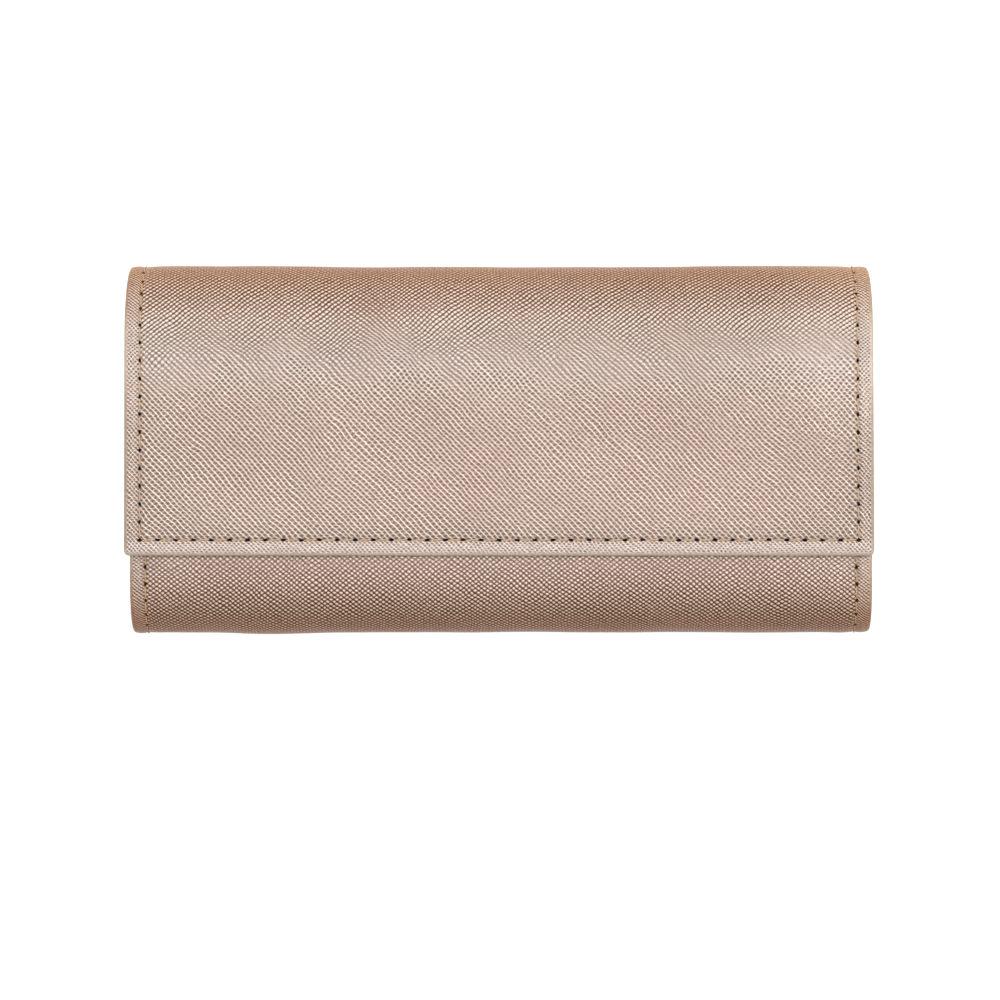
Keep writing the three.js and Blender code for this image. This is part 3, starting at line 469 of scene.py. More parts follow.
def new_piece(name, points, faces, grain=None):
    """An object from points in millimetres. grain gives each point's place on its flat cut."""
    mesh = bpy.data.meshes.new(name)
    mesh.from_pydata((np.asarray(points) * MM).tolist(), [], faces)
    if grain is not None:
        layer = mesh.uv_layers.new(name="strip")
        corner_points = np.zeros(len(mesh.loops), np.int32)
        mesh.loops.foreach_get("vertex_index", corner_points)
        layer.data.foreach_set("uv", (np.asarray(grain)[corner_points] * MM).ravel())
    work = bmesh.new()
    work.from_mesh(mesh)
    bmesh.ops.remove_doubles(work, verts=work.verts, dist=WELD * MM)
    bmesh.ops.recalc_face_normals(work, faces=work.faces)
    for face in work.faces:
        face.smooth = True
    work.to_mesh(mesh)
    work.free()
    mesh.set_sharp_from_angle(angle=math.radians(SHARP_ANGLE))
    piece = bpy.data.objects.new(name, mesh)
    bpy.context.scene.collection.objects.link(piece)
    return piece


def grid_faces(index):
    a, b, c, d = index[:-1, :-1], index[:-1, 1:], index[1:, 1:], index[1:, :-1]
    return np.stack([a, b, c, d], -1)


def tube_faces(index):
    """Faces round and at both ends of a tube, from its rings of point numbers."""
    closed = np.concatenate([index, index[:, :1]], 1)
    return grid_faces(closed).reshape(-1, 4).tolist() + [index[0].tolist(), index[-1][::-1].tolist()]


def slab(name, upper, lower, grain=None, keep=None):
    """A closed sheet between two grids of points, with the cells that keep leaves out open."""
    rows, columns = upper.shape[:2]
    index = np.arange(rows * columns).reshape(rows, columns)
    below = index + rows * columns
    kept = np.ones((rows - 1, columns - 1), bool) if keep is None else keep
    faces = grid_faces(index)[kept].tolist() + grid_faces(below)[kept][:, ::-1].tolist()
    around = np.pad(kept, 1)
    for row, column in zip(*np.nonzero(kept)):
        ring = [(row, column), (row, column + 1), (row + 1, column + 1), (row + 1, column)]
        beside = [(row, column + 1), (row + 1, column + 2), (row + 2, column + 1), (row + 1, column)]
        for side in range(4):
            if not around[beside[side]]:
                a, b = index[ring[side]], index[ring[(side + 1) % 4]]
                c, d = below[ring[(side + 1) % 4]], below[ring[side]]
                faces.append([int(b), int(a), int(d), int(c)])
    points = np.concatenate([upper.reshape(-1, 3), lower.reshape(-1, 3)])
    cut = None if grain is None else np.concatenate([grain.reshape(-1, 2)] * 2)
    return new_piece(name, points, faces, cut)


def rounded_insets(side, end, corner=CORNER):
    """Insets from a side and an end, moved so that the corner between them is round."""
    p = np.maximum(corner - side, 0)
    q = np.maximum(corner - end, 0)
    share = np.where((p > 0) & (q > 0), np.maximum(p, q) / np.maximum(np.hypot(p, q), TINY), 1)
    return np.where(p > 0, corner - p * share, side), np.where(q > 0, corner - q * share, end)


def ring_profile():
    """The turned edge and its hem, as pairs of inset and depth from the outer face inward."""
    quarter = np.linspace(0, math.pi / 2, 5)[1:]
    top = [(RIM - RIM * math.sin(t), RIM - RIM * math.cos(t)) for t in quarter]
    bottom = [(RIM - RIM * math.cos(t), HEM_BOTTOM - RIM + RIM * math.sin(t)) for t in quarter]
    turned_in = [(HEM_WIDTH, HEM_BOTTOM), (HEM_WIDTH, HEM_TOP), (COVER, HEM_TOP), (COVER, COVER)]
    return top + [(0, HEM_BOTTOM - RIM)] + bottom + turned_in


def turned_length():
    """The width of cover that goes round the turned edge and along the hem."""
    around = [(RIM, 0)] + ring_profile()
    hem_end = around.index((HEM_WIDTH, HEM_BOTTOM))
    return sum(math.dist(around[k], around[k + 1]) for k in range(hem_end))


def drawn_to(insets, inset):
    """An outline's insets moved to a ring's own inset. Points within the corner go in step."""
    if inset > CORNER:
        return np.maximum(insets, inset)
    shrink = (CORNER - inset) / (CORNER - RIM)
    in_corner = np.where(insets < CORNER, CORNER - (CORNER - insets) * shrink, insets)
    return np.where(insets <= RIM + NEARLY, inset, in_corner)


def shell(name, start, end):
    """A hemmed length of cover. Its outer face is a grid, its turned edges are rings round that."""
    free = 1 if end == STRIP_END else -1 if start == 0 else 0
    along, across = np.meshgrid(rows_between(start, end), COLUMNS, indexing="ij")
    rows, columns = along.shape
    end_inset = {1: STRIP_END - along, -1: along, 0: 0 * along + HALF}[free]
    side_inset = HALF - np.abs(across)
    sign = np.where(across < 0, -1, 1)

    def spot(side, from_end, sign, along):
        side, from_end = rounded_insets(side, from_end)
        return sign * (HALF - side), {1: STRIP_END - from_end, -1: from_end, 0: along}[free]

    x, station = spot(side_inset, end_inset, sign, along)
    relief = cover_relief(x, station) - HOLE_DEPTH * is_hole(across, along)
    points = [strip_point(x, station, relief).reshape(-1, 3)]
    grain = [np.stack([x, station], -1).reshape(-1, 2)]
    index = np.arange(rows * columns).reshape(rows, columns)
    faces = grid_faces(index).reshape(-1, 4).tolist()
    left, right = index[:, 0], index[:, -1]
    chains = {
        1: [np.concatenate([left, index[-1, 1:-1], right[::-1]])],
        -1: [np.concatenate([left[::-1], index[0, 1:-1], right])],
        0: [left, right],
    }[free]
    sides = []
    for chain in chains:
        grids = (side_inset, end_inset, sign, along, relief)
        a, b, s, v, edge_lift = [grid.ravel()[chain] for grid in grids]
        wrapped = 0
        before = (RIM, 0)
        rings = [chain]
        for number, (inset, depth) in enumerate(ring_profile()):
            px, ps = spot(drawn_to(a, inset), drawn_to(b, inset), s, v)
            lift = edge_lift * max(0, 1 - number / RINGS_LIFTED)
            wrapped += math.hypot(inset - before[0], depth - before[1])
            before = (inset, depth)
            u = np.where(a <= RIM + NEARLY, s * (HALF - RIM + wrapped), px)
            w = np.where(b <= RIM + NEARLY, ps + free * (wrapped - RIM + inset), ps)
            ring = np.arange(len(chain)) + sum(len(p) for p in points)
            points.append(strip_point(px, ps, lift - depth))
            grain.append(np.stack([u, w], -1))
            faces += np.stack([rings[-1][:-1], rings[-1][1:], ring[1:], ring[:-1]], -1).tolist()
            rings.append(ring)
        sides.append(rings)

    inner = sides[0][-1]
    if free:
        l, r = inner[:rows], inner[::-1][:rows]
        faces.append(inner[rows - 1:len(inner) - rows + 1].tolist())
        seams = [(0 if free == 1 else rows - 1, 0, -1)]
    else:
        l, r = inner, sides[1][-1]
        seams = [(0, 0, 0), (rows - 1, -1, -1)]
    faces += np.stack([l[:-1], l[1:], r[1:], r[:-1]], -1).tolist()
    for row, first, last in seams:
        left_side = [int(ring[first]) for ring in sides[0][1:]]
        right_side = [int(ring[last]) for ring in sides[-1][1:]]
        faces.append(index[row].tolist() + right_side + left_side[::-1])
    return new_piece(name, np.concatenate(points), faces, np.concatenate(grain))


def in_fold(along, low, high):
    early, late = FOLD_EASE
    return ease(along, low + early, low + late) * (1 - ease(along, high - late, high - early))


def lining_sheet(name, start, end):
    """A length of suede lining, with the panel's padding behind it away from the folds."""
    rows = rows_between(start, end)
    if start < SNAP_STATION < end:
        along, across, keep = with_magnet_hole(rows)
    else:
        along, across = np.meshgrid(rows, LINING_COLUMNS, indexing="ij")
        keep = None
    inset = inset_of(across, along)
    flat = (1 - in_fold(along, NEAR_TOP, NEAR_BOTTOM)) * (1 - in_fold(along, FAR_BOTTOM, FAR_TOP))
    back = LINING_BACK - (LINING_BACK - PADDING_BACK) * flat * ease(inset, *PAST_HEM)
    face = strip_point(across, along, -LINING_FACE - lining_relief(across, along))
    behind = strip_point(across, along, -back)
    return slab(name, face, behind, np.stack([across, along], -1), keep)


def warp_round(across, along, middle, radius, reach):
    """Grid points round a square hole, moved so that the hole is round."""
    du, dv = across - middle[0], along - middle[1]
    square = np.maximum(np.abs(du), np.abs(dv))
    share = square / np.maximum(np.hypot(du, dv), TINY)
    share = share + (1 - share) * ease(square, radius, reach)
    inside = square <= reach
    return np.where(inside, middle[0] + du * share, across), np.where(inside, middle[1] + dv * share, along)


def with_round_hole(rows, columns, station, radius, clear, reach, beside=()):
    """A grid with a round hole on its middle line, and which of its cells are kept."""
    ring = np.concatenate([np.linspace(-radius, radius, HOLE_LINES), beside])
    columns = np.unique(np.concatenate([columns[np.abs(columns) > clear], ring]))
    rows = np.unique(np.concatenate([rows[np.abs(rows - station) > clear], station + ring]))
    along, across = np.meshgrid(rows, columns, indexing="ij")
    off_station = np.abs(cell_middles(along) - station)
    keep = (np.abs(cell_middles(across)) > radius) | (off_station > radius)
    across, along = warp_round(across, along, (0, station), radius, reach)
    return along, across, keep


def with_magnet_hole(rows):
    low, high = corners("flap_magnet")
    radius = (high[0] - low[0]) / 2 + MAGNET_GAP
    beside = radius + MAGNET_BESIDE
    clear, reach = radius + MAGNET_CLEAR, radius + MAGNET_REACH
    return with_round_hole(rows, LINING_COLUMNS, SNAP_STATION, radius, clear, reach, [-beside, beside])


# Thread

def stitches(name, runs, thread=THREAD):
    """Tubes of thread. Each run is a line, from a hole's number to its place and outward normal."""
    points, faces = [], []
    count = 0
    turn = np.linspace(0, 2 * math.pi, THREAD_SIDES, endpoint=False)
    share = np.linspace(0, 1, THREAD_STEPS + 1)
    rise = thread * THREAD_RISE - THREAD_DIP * np.abs(2 * share - 1) ** 3
    slant = THREAD_SLANT * (1 - 2 * share) * thread / THREAD
    for line, first, last in runs:
        for hole in range(first, last):
            place, normal = line(hole + share)
            sideways = unit(np.cross(np.gradient(place, axis=0), normal))
            middle = place + normal * rise[:, None] + sideways * slant[:, None]
            along = unit(np.gradient(middle, axis=0))
            side = unit(np.cross(along, normal))
            up = np.cross(side, along)
            ring = np.cos(turn)[None, :, None] * side[:, None] + np.sin(turn)[None, :, None] * up[:, None]
            tube = (middle[:, None] + thread * ring).reshape(-1, 3)
            faces += tube_faces(count + np.arange(len(tube)).reshape(-1, THREAD_SIDES))
            points.append(tube)
            count += len(tube)
    return new_piece(name, np.concatenate(points), faces)


def strip_runs(start, end):
    """Lines of stitches within a length of the strip, on the cover and on the lining."""
    middles = (SIDE_HOLES[:-1] + SIDE_HOLES[1:]) / 2
    inside = [k for k, middle in enumerate(middles) if start <= middle < end]
    runs = []
    for outer in (True, False):
        for side in (-1, 1):
            runs.append((side_line(side, outer), inside[0], inside[-1] + 1))
        if start == 0 or end == STRIP_END:
            station = STITCH_INSET if start == 0 else STRIP_END - STITCH_INSET
            runs.append((end_line(station, outer), 0, len(END_HOLES) - 1))
    return runs


def face_of(across, along, outer):
    if outer:
        return strip_point(across, along, cover_relief(across, along)), strip_normal(along)
    depth = LINING_FACE + lining_relief(across, along)
    return strip_point(across, along, -depth), -strip_normal(along)


def side_line(side, outer):
    def line(holes):
        along = np.interp(holes, np.arange(len(SIDE_HOLES)), SIDE_HOLES)
        return face_of(side * (HALF - STITCH_INSET) + 0 * along, along, outer)

    return line


def end_line(station, outer):
    def line(holes):
        across = np.interp(holes, np.arange(len(END_HOLES)), END_HOLES)
        return face_of(across, station + 0 * across, outer)

    return line


# What the roll holds: the pocket, the zip's tapes, the ring bar, the necklace tabs and the earring leaf

def edged_lines(low, high, insets, step):
    """Grid lines between two edges: at the given insets from both, and about a step apart between."""
    inner_low, inner_high = low + insets[-1], high - insets[-1]
    count = max(1, round((inner_high - inner_low) / step))
    edge = [low + inset for inset in insets] + [high - inset for inset in insets]
    return sorted_lines(edge, np.linspace(inner_low, inner_high, count + 1))


def in_plan(x, y, z):
    return np.stack([x, y, z], -1)


def under(points, thickness):
    """A grid's points moved inward by the cloth's thickness."""
    return points - unit(np.cross(np.gradient(points, axis=1), np.gradient(points, axis=0))) * thickness


def plan_run(start, end, face, side=1):
    """A straight line of stitches in plan, on a face whose height is given."""
    count = max(1, round(math.dist(start, end) / FINE_PITCH))

    def line(holes):
        share = holes / count
        x = start[0] + share * (end[0] - start[0])
        y = start[1] + share * (end[1] - start[1])
        return in_plan(x, y, face(x, y)), np.array([0, 0, side]) + 0 * in_plan(x, y, x)

    return line, 0, count


def rectangle_runs(low, high, face):
    around = [(low[0], low[1]), (high[0], low[1]), (high[0], high[1]), (low[0], high[1])]
    return [plan_run(around[k], around[(k + 1) % 4], face) for k in range(4)]


POCKET_LOW, POCKET_HIGH = corners("pocket_panel")
ZIP_Y = (POCKET_LOW[1] + POCKET_HIGH[1]) / 2
POCKET_FLANGE_Z = POCKET_LOW[2] + POCKET_PANEL


def pocket_gap(x, y):
    """The distance outward from the edge of the zip's mouth."""
    return np.maximum(np.abs(x) - MOUTH_END, np.abs(y - ZIP_Y) - MOUTH_HALF)


def pocket_face(x, y):
    """The height of the pocket's outer face: a sewn flange, gathered sides and a puffed top."""
    inset = soft_min(POCKET_HIGH[0] - np.abs(x), y - POCKET_LOW[1], POCKET_HIGH[1] - y)
    gap = pocket_gap(x, y)
    rise = ease(inset, POCKET_FLANGE, POCKET_FLANGE + POCKET_SLOPE)
    slope = 4 * rise * (1 - rise)
    free = rise * ease(gap, *POCKET_FREE)
    creases = waves(x, y, *POCKET_WAVES) + CROSS_CREASE * waves(x, 0.4 * y, *POCKET_CREASES) * slope
    height = POCKET_FLANGE_Z + rise * (POCKET_HIGH[2] - POCKET_FLANGE_Z)
    wandering = x + GATHER_WANDER * waves(x, y, *GATHER_WAVES)
    gathers = GATHER * np.cos(2 * math.pi * wandering / GATHER_PITCH)
    gathers = gathers * (np.abs(x) < POCKET_HIGH[0] - POCKET_END)
    height = height + POCKET_PUFF * free + (POCKET_CREASE * free + SLOPE_CREASE * slope) * creases
    height = height + SLOPE_GATHER * slope * gathers
    seams = SEAM_DIP * bell(gap, MOUTH_STITCH, SEAM_DIP_HALF)
    seams = seams + SEAM_DIP * bell(inset, FLANGE_STITCH, SEAM_DIP_HALF)
    return height - seams + rounding(gap, MOUTH_EDGE)


def pocket():
    low, high = POCKET_LOW, POCKET_HIGH
    insets = [0, 0.5, 0.9, 1.3, 1.7, 2.1, 2.5, 3.1, 3.7, 4.3, 4.9, 5.5, 6.1, 6.7, 7.3]
    lip = np.array([0, 0.15, 0.4, 0.9, 1.5, 2.1, 2.8])
    columns = edged_lines(low[0], high[0], insets, POCKET_COLUMN_STEP)
    columns = columns[np.abs(np.abs(columns) - MOUTH_END - lip[-1] / 2) > LIP_CLEAR]
    columns = np.unique(np.concatenate([columns, MOUTH_END + lip, -MOUTH_END - lip]))
    rows = edged_lines(low[1], high[1], insets, POCKET_ROW_STEP)
    rows = rows[np.abs(rows - ZIP_Y) > MOUTH_HALF + lip[-1]]
    rows = np.unique(np.concatenate([rows, ZIP_Y + MOUTH_HALF + lip, ZIP_Y - MOUTH_HALF - lip]))
    y, x = np.meshgrid(rows, columns, indexing="ij")
    outer = in_plan(x, y, pocket_face(x, y))
    keep = pocket_gap(cell_middles(x), cell_middles(y)) > 0
    made = slab("pocket", outer, under(outer, POCKET_PANEL), None, keep)
    mouth = np.array([MOUTH_END + MOUTH_STITCH, MOUTH_HALF + MOUTH_STITCH])
    middle = np.array([0, ZIP_Y])
    runs = rectangle_runs(middle - mouth, middle + mouth, pocket_face)
    runs += rectangle_runs(low[:2] + FLANGE_STITCH, high[:2] - FLANGE_STITCH, pocket_face)
    return made, stitches("thread_pocket", runs, FINE_THREAD)


def zip_tape(side):
    """A woven tape, thicker along the cord beside the teeth, and a little puckered where it is sewn."""
    low, high = corners(f"zip_tape_{side}")
    inner = low[1] if side == "far" else high[1]
    from_cord = np.array([0, 0.15, 0.35, 0.6, 0.9, 1.2, 1.8, 2.6, 3.6, 4.6, 5.4, 6.2, 6.7, 6.9, TAPE_WIDTH])
    rows = inner + from_cord * (1 if side == "far" else -1)
    columns = np.linspace(low[0], high[0], TAPE_COLUMNS)
    y, x = np.meshgrid(np.sort(rows), columns, indexing="ij")
    off = np.abs(y - inner)
    past_top = x - corners("zip_top_stop")[1][0]
    past_bottom = corners("zip_bottom_stop")[0][0] - x
    together = ease(np.maximum(past_top, past_bottom), TAPES_LEAN, TAPES_MEET)
    gap = inner - ZIP_Y - np.sign(inner - ZIP_Y) * TAPES_APART
    y = y - gap * together * (1 - off / off.max())
    half = (high[2] - low[2]) / 2
    thick = half - CORD_RISE + CORD_RISE * bell(off, *TAPE_CORD)
    for inset in (off, TAPE_WIDTH - off):
        thick = thick + rounding(inset, TAPE_EDGE) * TAPE_EDGE_SHARE
    pucker = PUCKER_RISE * np.cos(2 * math.pi * x / FINE_PITCH) * bell(off, *TAPE_PUCKER)
    pucker = pucker + TAPE_WAVE * waves(x, y, *TAPE_WAVES)
    middle = (high[2] + low[2]) / 2 + pucker
    return slab(f"tape_{side}", in_plan(x, y, middle + thick), in_plan(x, y, middle - thick))


BAR_LOW, BAR_HIGH = corners("ring_bar_sleeve")
BAR_LOW[0] -= BAR_TO_STRAP
BAR_HIGH[0] += BAR_TO_STRAP
BAR_MIDDLE = (BAR_LOW + BAR_HIGH) / 2
BAR_RADIUS = (BAR_HIGH[2] - BAR_LOW[2]) / 2


def bar_place(x, radius, turn):
    """A point of the ring bar's sleeve. radius is its full one, before seam, gathers and creases."""
    from_end = np.minimum(x - BAR_LOW[0], BAR_HIGH[0] - x)
    gathers = 0.5 - 0.5 * np.cos(BAR_GATHERS * turn)
    drawn = BAR_GATHER * gathers * (1 - ease(from_end, *BAR_GATHER_ENDS)) * radius / BAR_RADIUS
    off_seam = (turn - BAR_SEAM) * BAR_RADIUS
    seam = sum(depth * bell(off_seam, 0, half) for depth, half in (BAR_SEAM_LINE, BAR_SEAM_TROUGH))
    creases = BAR_CREASE * waves(x, turn * BAR_RADIUS, *BAR_WAVES) - BAR_CREASE_DROP
    out = radius - drawn - seam * radius / BAR_RADIUS + creases * ease(from_end, 0, BAR_CREASE_END)
    inward = CAP_GATHER * gathers * bell(radius, *CAP_GATHER_RING) * np.sign(-x) * (from_end < AT_END)
    y = BAR_MIDDLE[1] + out * np.sin(turn)
    z = BAR_MIDDLE[2] + out * np.cos(turn)
    return in_plan(x + inward, y, z)


def ring_roll():
    turn = np.linspace(-math.pi, math.pi, BAR_SIDES, endpoint=False)
    caps = np.array([0.15, 0.9, 1.7, 2.5, 3.1])
    insets = [0, 0.08, 0.3, 0.7, 1.2, 1.8, 2.6, 3.6, 5, 6.5, 8.5]
    stations = edged_lines(BAR_LOW[0], BAR_HIGH[0], insets, BAR_STEP)
    from_end = np.minimum(stations - BAR_LOW[0], BAR_HIGH[0] - stations)
    x = np.concatenate([BAR_LOW[0] + 0 * caps, stations, BAR_HIGH[0] + 0 * caps])
    radii = np.concatenate([caps, BAR_RADIUS + rounding(from_end, BAR_EDGE), caps[::-1]])
    points = bar_place(x[:, None], radii[:, None], turn[None])
    index = np.arange(points[..., 0].size).reshape(-1, BAR_SIDES)
    body = new_piece("ring_roll", points.reshape(-1, 3), tube_faces(index))
    sewn = BAR_HIGH[0] - BAR_LOW[0] - 2 * BAR_SEAM_ENDS
    count = round(sewn / FINE_PITCH)

    def line(holes):
        at = BAR_LOW[0] + BAR_SEAM_ENDS + holes * sewn / count
        beside = BAR_SEAM + BAR_SEAM_STITCH / BAR_RADIUS + 0 * at
        place = bar_place(at, BAR_RADIUS + 0 * at, beside)
        return place, in_plan(0 * at, np.sin(beside), np.cos(beside))

    return body, stitches("thread_ring_roll", [(line, 0, count)], FINE_THREAD)


def ribbon(name, path, length, half, thickness, hole=None, doubled=None):
    """A strap with a rounded tip and edge stitching. path gives a station's place and upward normal."""
    insets = [0, 0.12, 0.3, 0.6, 0.9, 1.2, 1.5, 2.0]
    columns = edged_lines(-half, half, insets, STRAP_STEP)
    rows = edged_lines(0, length, insets, STRAP_STEP)
    rows = np.append(rows[rows < length - STRAP_LAST_ROW], length - STRAP_TIP)
    if hole is None:
        s, c = np.meshgrid(rows, columns, indexing="ij")
        keep = None
    else:
        clear, reach = STUD_HOLE + STUD_CLEAR, STUD_HOLE + STUD_REACH
        s, c, keep = with_round_hole(rows, columns, hole, STUD_HOLE, clear, reach)
    straight = length - half
    past = np.clip(s - straight, 0, half) / half
    c = c * np.sqrt(1 - past ** 2)
    edge = np.minimum(half - np.hypot(c, past * half), s)
    thick = thickness / 2 - STRAP_SLIMMER + rounding(edge, STRAP_EDGE) * STRAP_EDGE_SHARE
    thick = thick - STRAP_DIP * bell(edge, STRAP_STITCH, STRAP_DIP_HALF)
    below = thick
    if doubled is not None:
        sewn_end, full = doubled
        below = thick + (full - thickness) * (1 - ease(s, sewn_end, sewn_end + TAB_STEP))
    place, up = path(s)
    place = place + unit(np.cross(up, np.gradient(place, axis=0))) * c[..., None]
    made = slab(name, place + up * thick[..., None], place - up * below[..., None], None, keep)
    reach = half - STRAP_STITCH
    straight_sewn = straight - STITCH_START
    straight_count = round(straight_sewn / FINE_PITCH)
    tip_count = round(math.pi * reach / FINE_PITCH)

    def seam_line(side, edge_side):
        """Stitches along an edge of the strap, or round its tip where edge_side is 0."""
        def line(holes):
            if edge_side:
                u = STITCH_START + holes / straight_count * straight_sewn
                v = edge_side * reach + 0 * u
            else:
                angle = math.pi * (holes / tip_count)
                u, v = straight + reach * np.sin(angle), reach * np.cos(angle)
            spot, lift = path(u)
            way = unit(np.cross(lift, np.gradient(spot, axis=0)))
            return spot + way * v[..., None] + lift * side * (thickness / 2 - THREAD_SUNK), lift * side

        return line, 0, straight_count if edge_side else tip_count

    runs = [seam_line(side, edge_side) for side in (1, -1) for edge_side in (1, -1, 0)]
    return made, stitches(f"thread_{name}", runs, FINE_THREAD)


def ring_strap(name, direction, foot_end):
    """A strap from an end of the ring bar, up to the front panel's lining and along it."""
    low, high = corners(f"ring_bar_{name}_strap")
    start = (low[0] if direction > 0 else high[0]) + direction * STRAP / 2
    rise = high[2] - STRAP / 2 - STRAP_TURN - low[2]
    arc = STRAP_TURN * math.pi / 2
    length = rise + arc + abs(foot_end - start) - STRAP_TURN

    def path(s):
        angle = np.clip(s - rise, 0, arc) / STRAP_TURN
        run = np.maximum(s - rise - arc, 0)
        x = start + direction * (STRAP_TURN * (1 - np.cos(angle)) + run)
        z = low[2] + np.minimum(s, rise) + STRAP_TURN * np.sin(angle)
        up = in_plan(-direction * np.cos(angle), 0 * s, np.sin(angle))
        return in_plan(x, BAR_MIDDLE[1] + 0 * s, z), up

    hole = None
    if direction > 0:
        hole = length - (foot_end - centre("ring_bar_cap")[0])
    return ribbon(f"strap_{name}", path, length, (high[1] - low[1]) / 2, STRAP, hole)


def necklace_strap(number):
    low, high = corners(f"necklace_tab_{number}")
    x = (low[0] + high[0]) / 2

    def path(s):
        place = in_plan(x + 0 * s, high[1] - s, high[2] - TAB / 2 + TAB_ARCH_RISE * bell(s, *TAB_ARCH))
        return place, in_plan(0 * s, 0 * s, 1 + 0 * s)

    hole = high[1] - centre(f"necklace_stud_{number}")[1]
    doubled = (TAB_SEWN_END, high[2] - low[2])
    return ribbon(f"tab_{number}", path, high[1] - low[1], (high[0] - low[0]) / 2, TAB, hole, doubled)


def leaf():
    """The leaf for earrings, with rows of punched holes, rounded free corners and sewn edges."""
    low, high = corners("earring_leaf")
    hole_x = (np.arange(LEAF_HOLES) - (LEAF_HOLES - 1) / 2) * LEAF_HOLE_PITCH
    hole_y = low[1] + (high[1] - low[1]) * np.array([1, 2]) / 3
    ring = np.array([-2.4, -1.6, -1, -0.5, 0, 0.5, 1, 1.6, 2.4]) * LEAF_HOLE
    insets = [0, 0.12, 0.3, 0.7, 1.1, 1.5, 1.9, 2.4, 3.2, 4.2]
    between_x = (hole_x[:-1, None] + LEAF_BETWEEN_HOLES).ravel()
    columns = [edged_lines(low[0], high[0], insets, LEAF_STEP), (hole_x[:, None] + ring).ravel(), between_x]
    between_y = [hole_y[0] + LEAF_MIDDLE_ROW, low[1] + LEAF_SIDE_ROW, high[1] - LEAF_SIDE_ROW]
    rows = [edged_lines(low[1], high[1], insets, LEAF_STEP), (hole_y[:, None] + ring).ravel(), between_y]
    y, x = np.meshgrid(np.unique(np.concatenate(rows)), np.unique(np.concatenate(columns)), indexing="ij")

    def nearest(value, targets):
        return targets[np.abs(value[..., None] - targets).argmin(-1)]

    middle_x, middle_y = cell_middles(x), cell_middles(y)
    off_x = np.abs(middle_x - nearest(middle_x, hole_x))
    off_y = np.abs(middle_y - nearest(middle_y, hole_y))
    keep = (off_x > LEAF_HOLE) | (off_y > LEAF_HOLE)
    holes = (nearest(x, hole_x), nearest(y, hole_y))
    x, y = warp_round(x, y, holes, LEAF_HOLE, LEAF_HOLE * LEAF_HOLE_REACH)
    from_hole = np.hypot(x - holes[0], y - holes[1])
    side, end = rounded_insets(high[0] - np.abs(x), y - low[1], LEAF_CORNER)
    x = np.sign(x) * (high[0] - side)
    y = low[1] + end
    edge = soft_min(side, np.maximum(end, 0), high[1] - y)
    in_corner = (side < LEAF_CORNER) & (end < LEAF_CORNER)
    edge = np.where(in_corner, LEAF_CORNER - np.hypot(LEAF_CORNER - side, LEAF_CORNER - end), edge)
    puff = LEAF_PUFF * (1 - np.exp(-np.maximum(edge - STRAP_STITCH, 0) / LEAF_PUFF_REACH))
    thick = LEAF_HALF + puff + rounding(np.maximum(edge, 0), LEAF_EDGE)
    for (depth, half), off, line in ((LEAF_DIP, edge, LEAF_STITCH), (LEAF_HOLE_DIP, from_hole, LEAF_HOLE)):
        thick = thick - depth * bell(off, line, half)

    def middle_z(x, y):
        sag = LEAF_SAG * ease(high[1] - y, *LEAF_SAG_FROM)
        wobble = LEAF_WAVE * waves(x, y, *LEAF_WAVES) * ease(high[1] - y, *LEAF_WAVE_FROM)
        return (low[2] + high[2]) / 2 - sag + wobble

    middle = middle_z(x, y)
    made = slab("leaf", in_plan(x, y, middle + thick), in_plan(x, y, middle - thick), None, keep)
    left, near = low[:2] + LEAF_STITCH
    right, far = high[:2] - LEAF_STITCH
    corner = LEAF_CORNER - LEAF_STITCH
    ends = [
        ((left + corner, near), (right - corner, near)),
        ((left, near + corner), (left, far)),
        ((right, near + corner), (right, far)),
        ((left, far), (right, far)),
        ((left, near + corner), (left + corner, near)),
        ((right, near + corner), (right - corner, near)),
    ]
    runs = []
    for way in (1, -1):
        def face(x, y, way=way):
            return middle_z(x, y) + way * LEAF_THREAD_LIFT

        runs += [plan_run(start, end, face, way) for start, end in ends]
    return made, stitches("thread_leaf", runs, FINE_THREAD)


# Materials

class Value:
    """What a node's output gives at each point. Values add and multiply as plain numbers do."""

    __array_ufunc__ = None  # so that sums with numpy's numbers come here too

    def __init__(self, socket):
        self.socket = socket

    def __add__(self, other):
        return calc("ADD", self, other)

    def __radd__(self, other):
        return calc("ADD", other, self)

    def __sub__(self, other):
        return calc("SUBTRACT", self, other)

    def __rsub__(self, other):
        return calc("SUBTRACT", other, self)

    def __mul__(self, other):
        return calc("MULTIPLY", self, other)

    def __truediv__(self, other):
        return calc("DIVIDE", self, other)

    def __pow__(self, other):
        return calc("POWER", self, other)

    def __abs__(self):
        return calc("ABSOLUTE", self)


def feed(node, inputs):
    """Sets a node's inputs, each to a value, another node's socket or a constant."""
    for key, value in inputs.items():
        if isinstance(value, Value):
            value = value.socket
        if isinstance(value, bpy.types.NodeSocket):
            node.id_data.links.new(value, node.inputs[key])
        else:
            node.inputs[key].default_value = value


def make(tree, kind, inputs=None, **settings):
    made = tree.nodes.new(kind)
    for key, value in settings.items():
        setattr(made, key, value)
    feed(made, inputs or {})
    return made


def made_from(kind, inputs, output=0, **settings):
    """The output of a new node, in the tree of the values that it is made from."""
    tree = next(value.socket.id_data for value in inputs.values() if isinstance(value, Value))
    return Value(make(tree, kind, inputs, **settings).outputs[output])


def calc(operation, *values):
    return made_from("ShaderNodeMath", dict(enumerate(values)), operation=operation)


def vector_calc(operation, inputs):
    return made_from("ShaderNodeVectorMath", inputs, operation=operation)


def mixed(share, first, second):
    return made_from("ShaderNodeMix", {0: share, 2: first, 3: second}, data_type="FLOAT")


def mixed_colour(share, first, second, way="MIX"):
    return made_from("ShaderNodeMix", {0: share, 6: first, 7: second}, 2, data_type="RGBA", blend_type=way)


def tinted(share, colour, tint):
    return mixed_colour(share, colour, tint, "MULTIPLY")


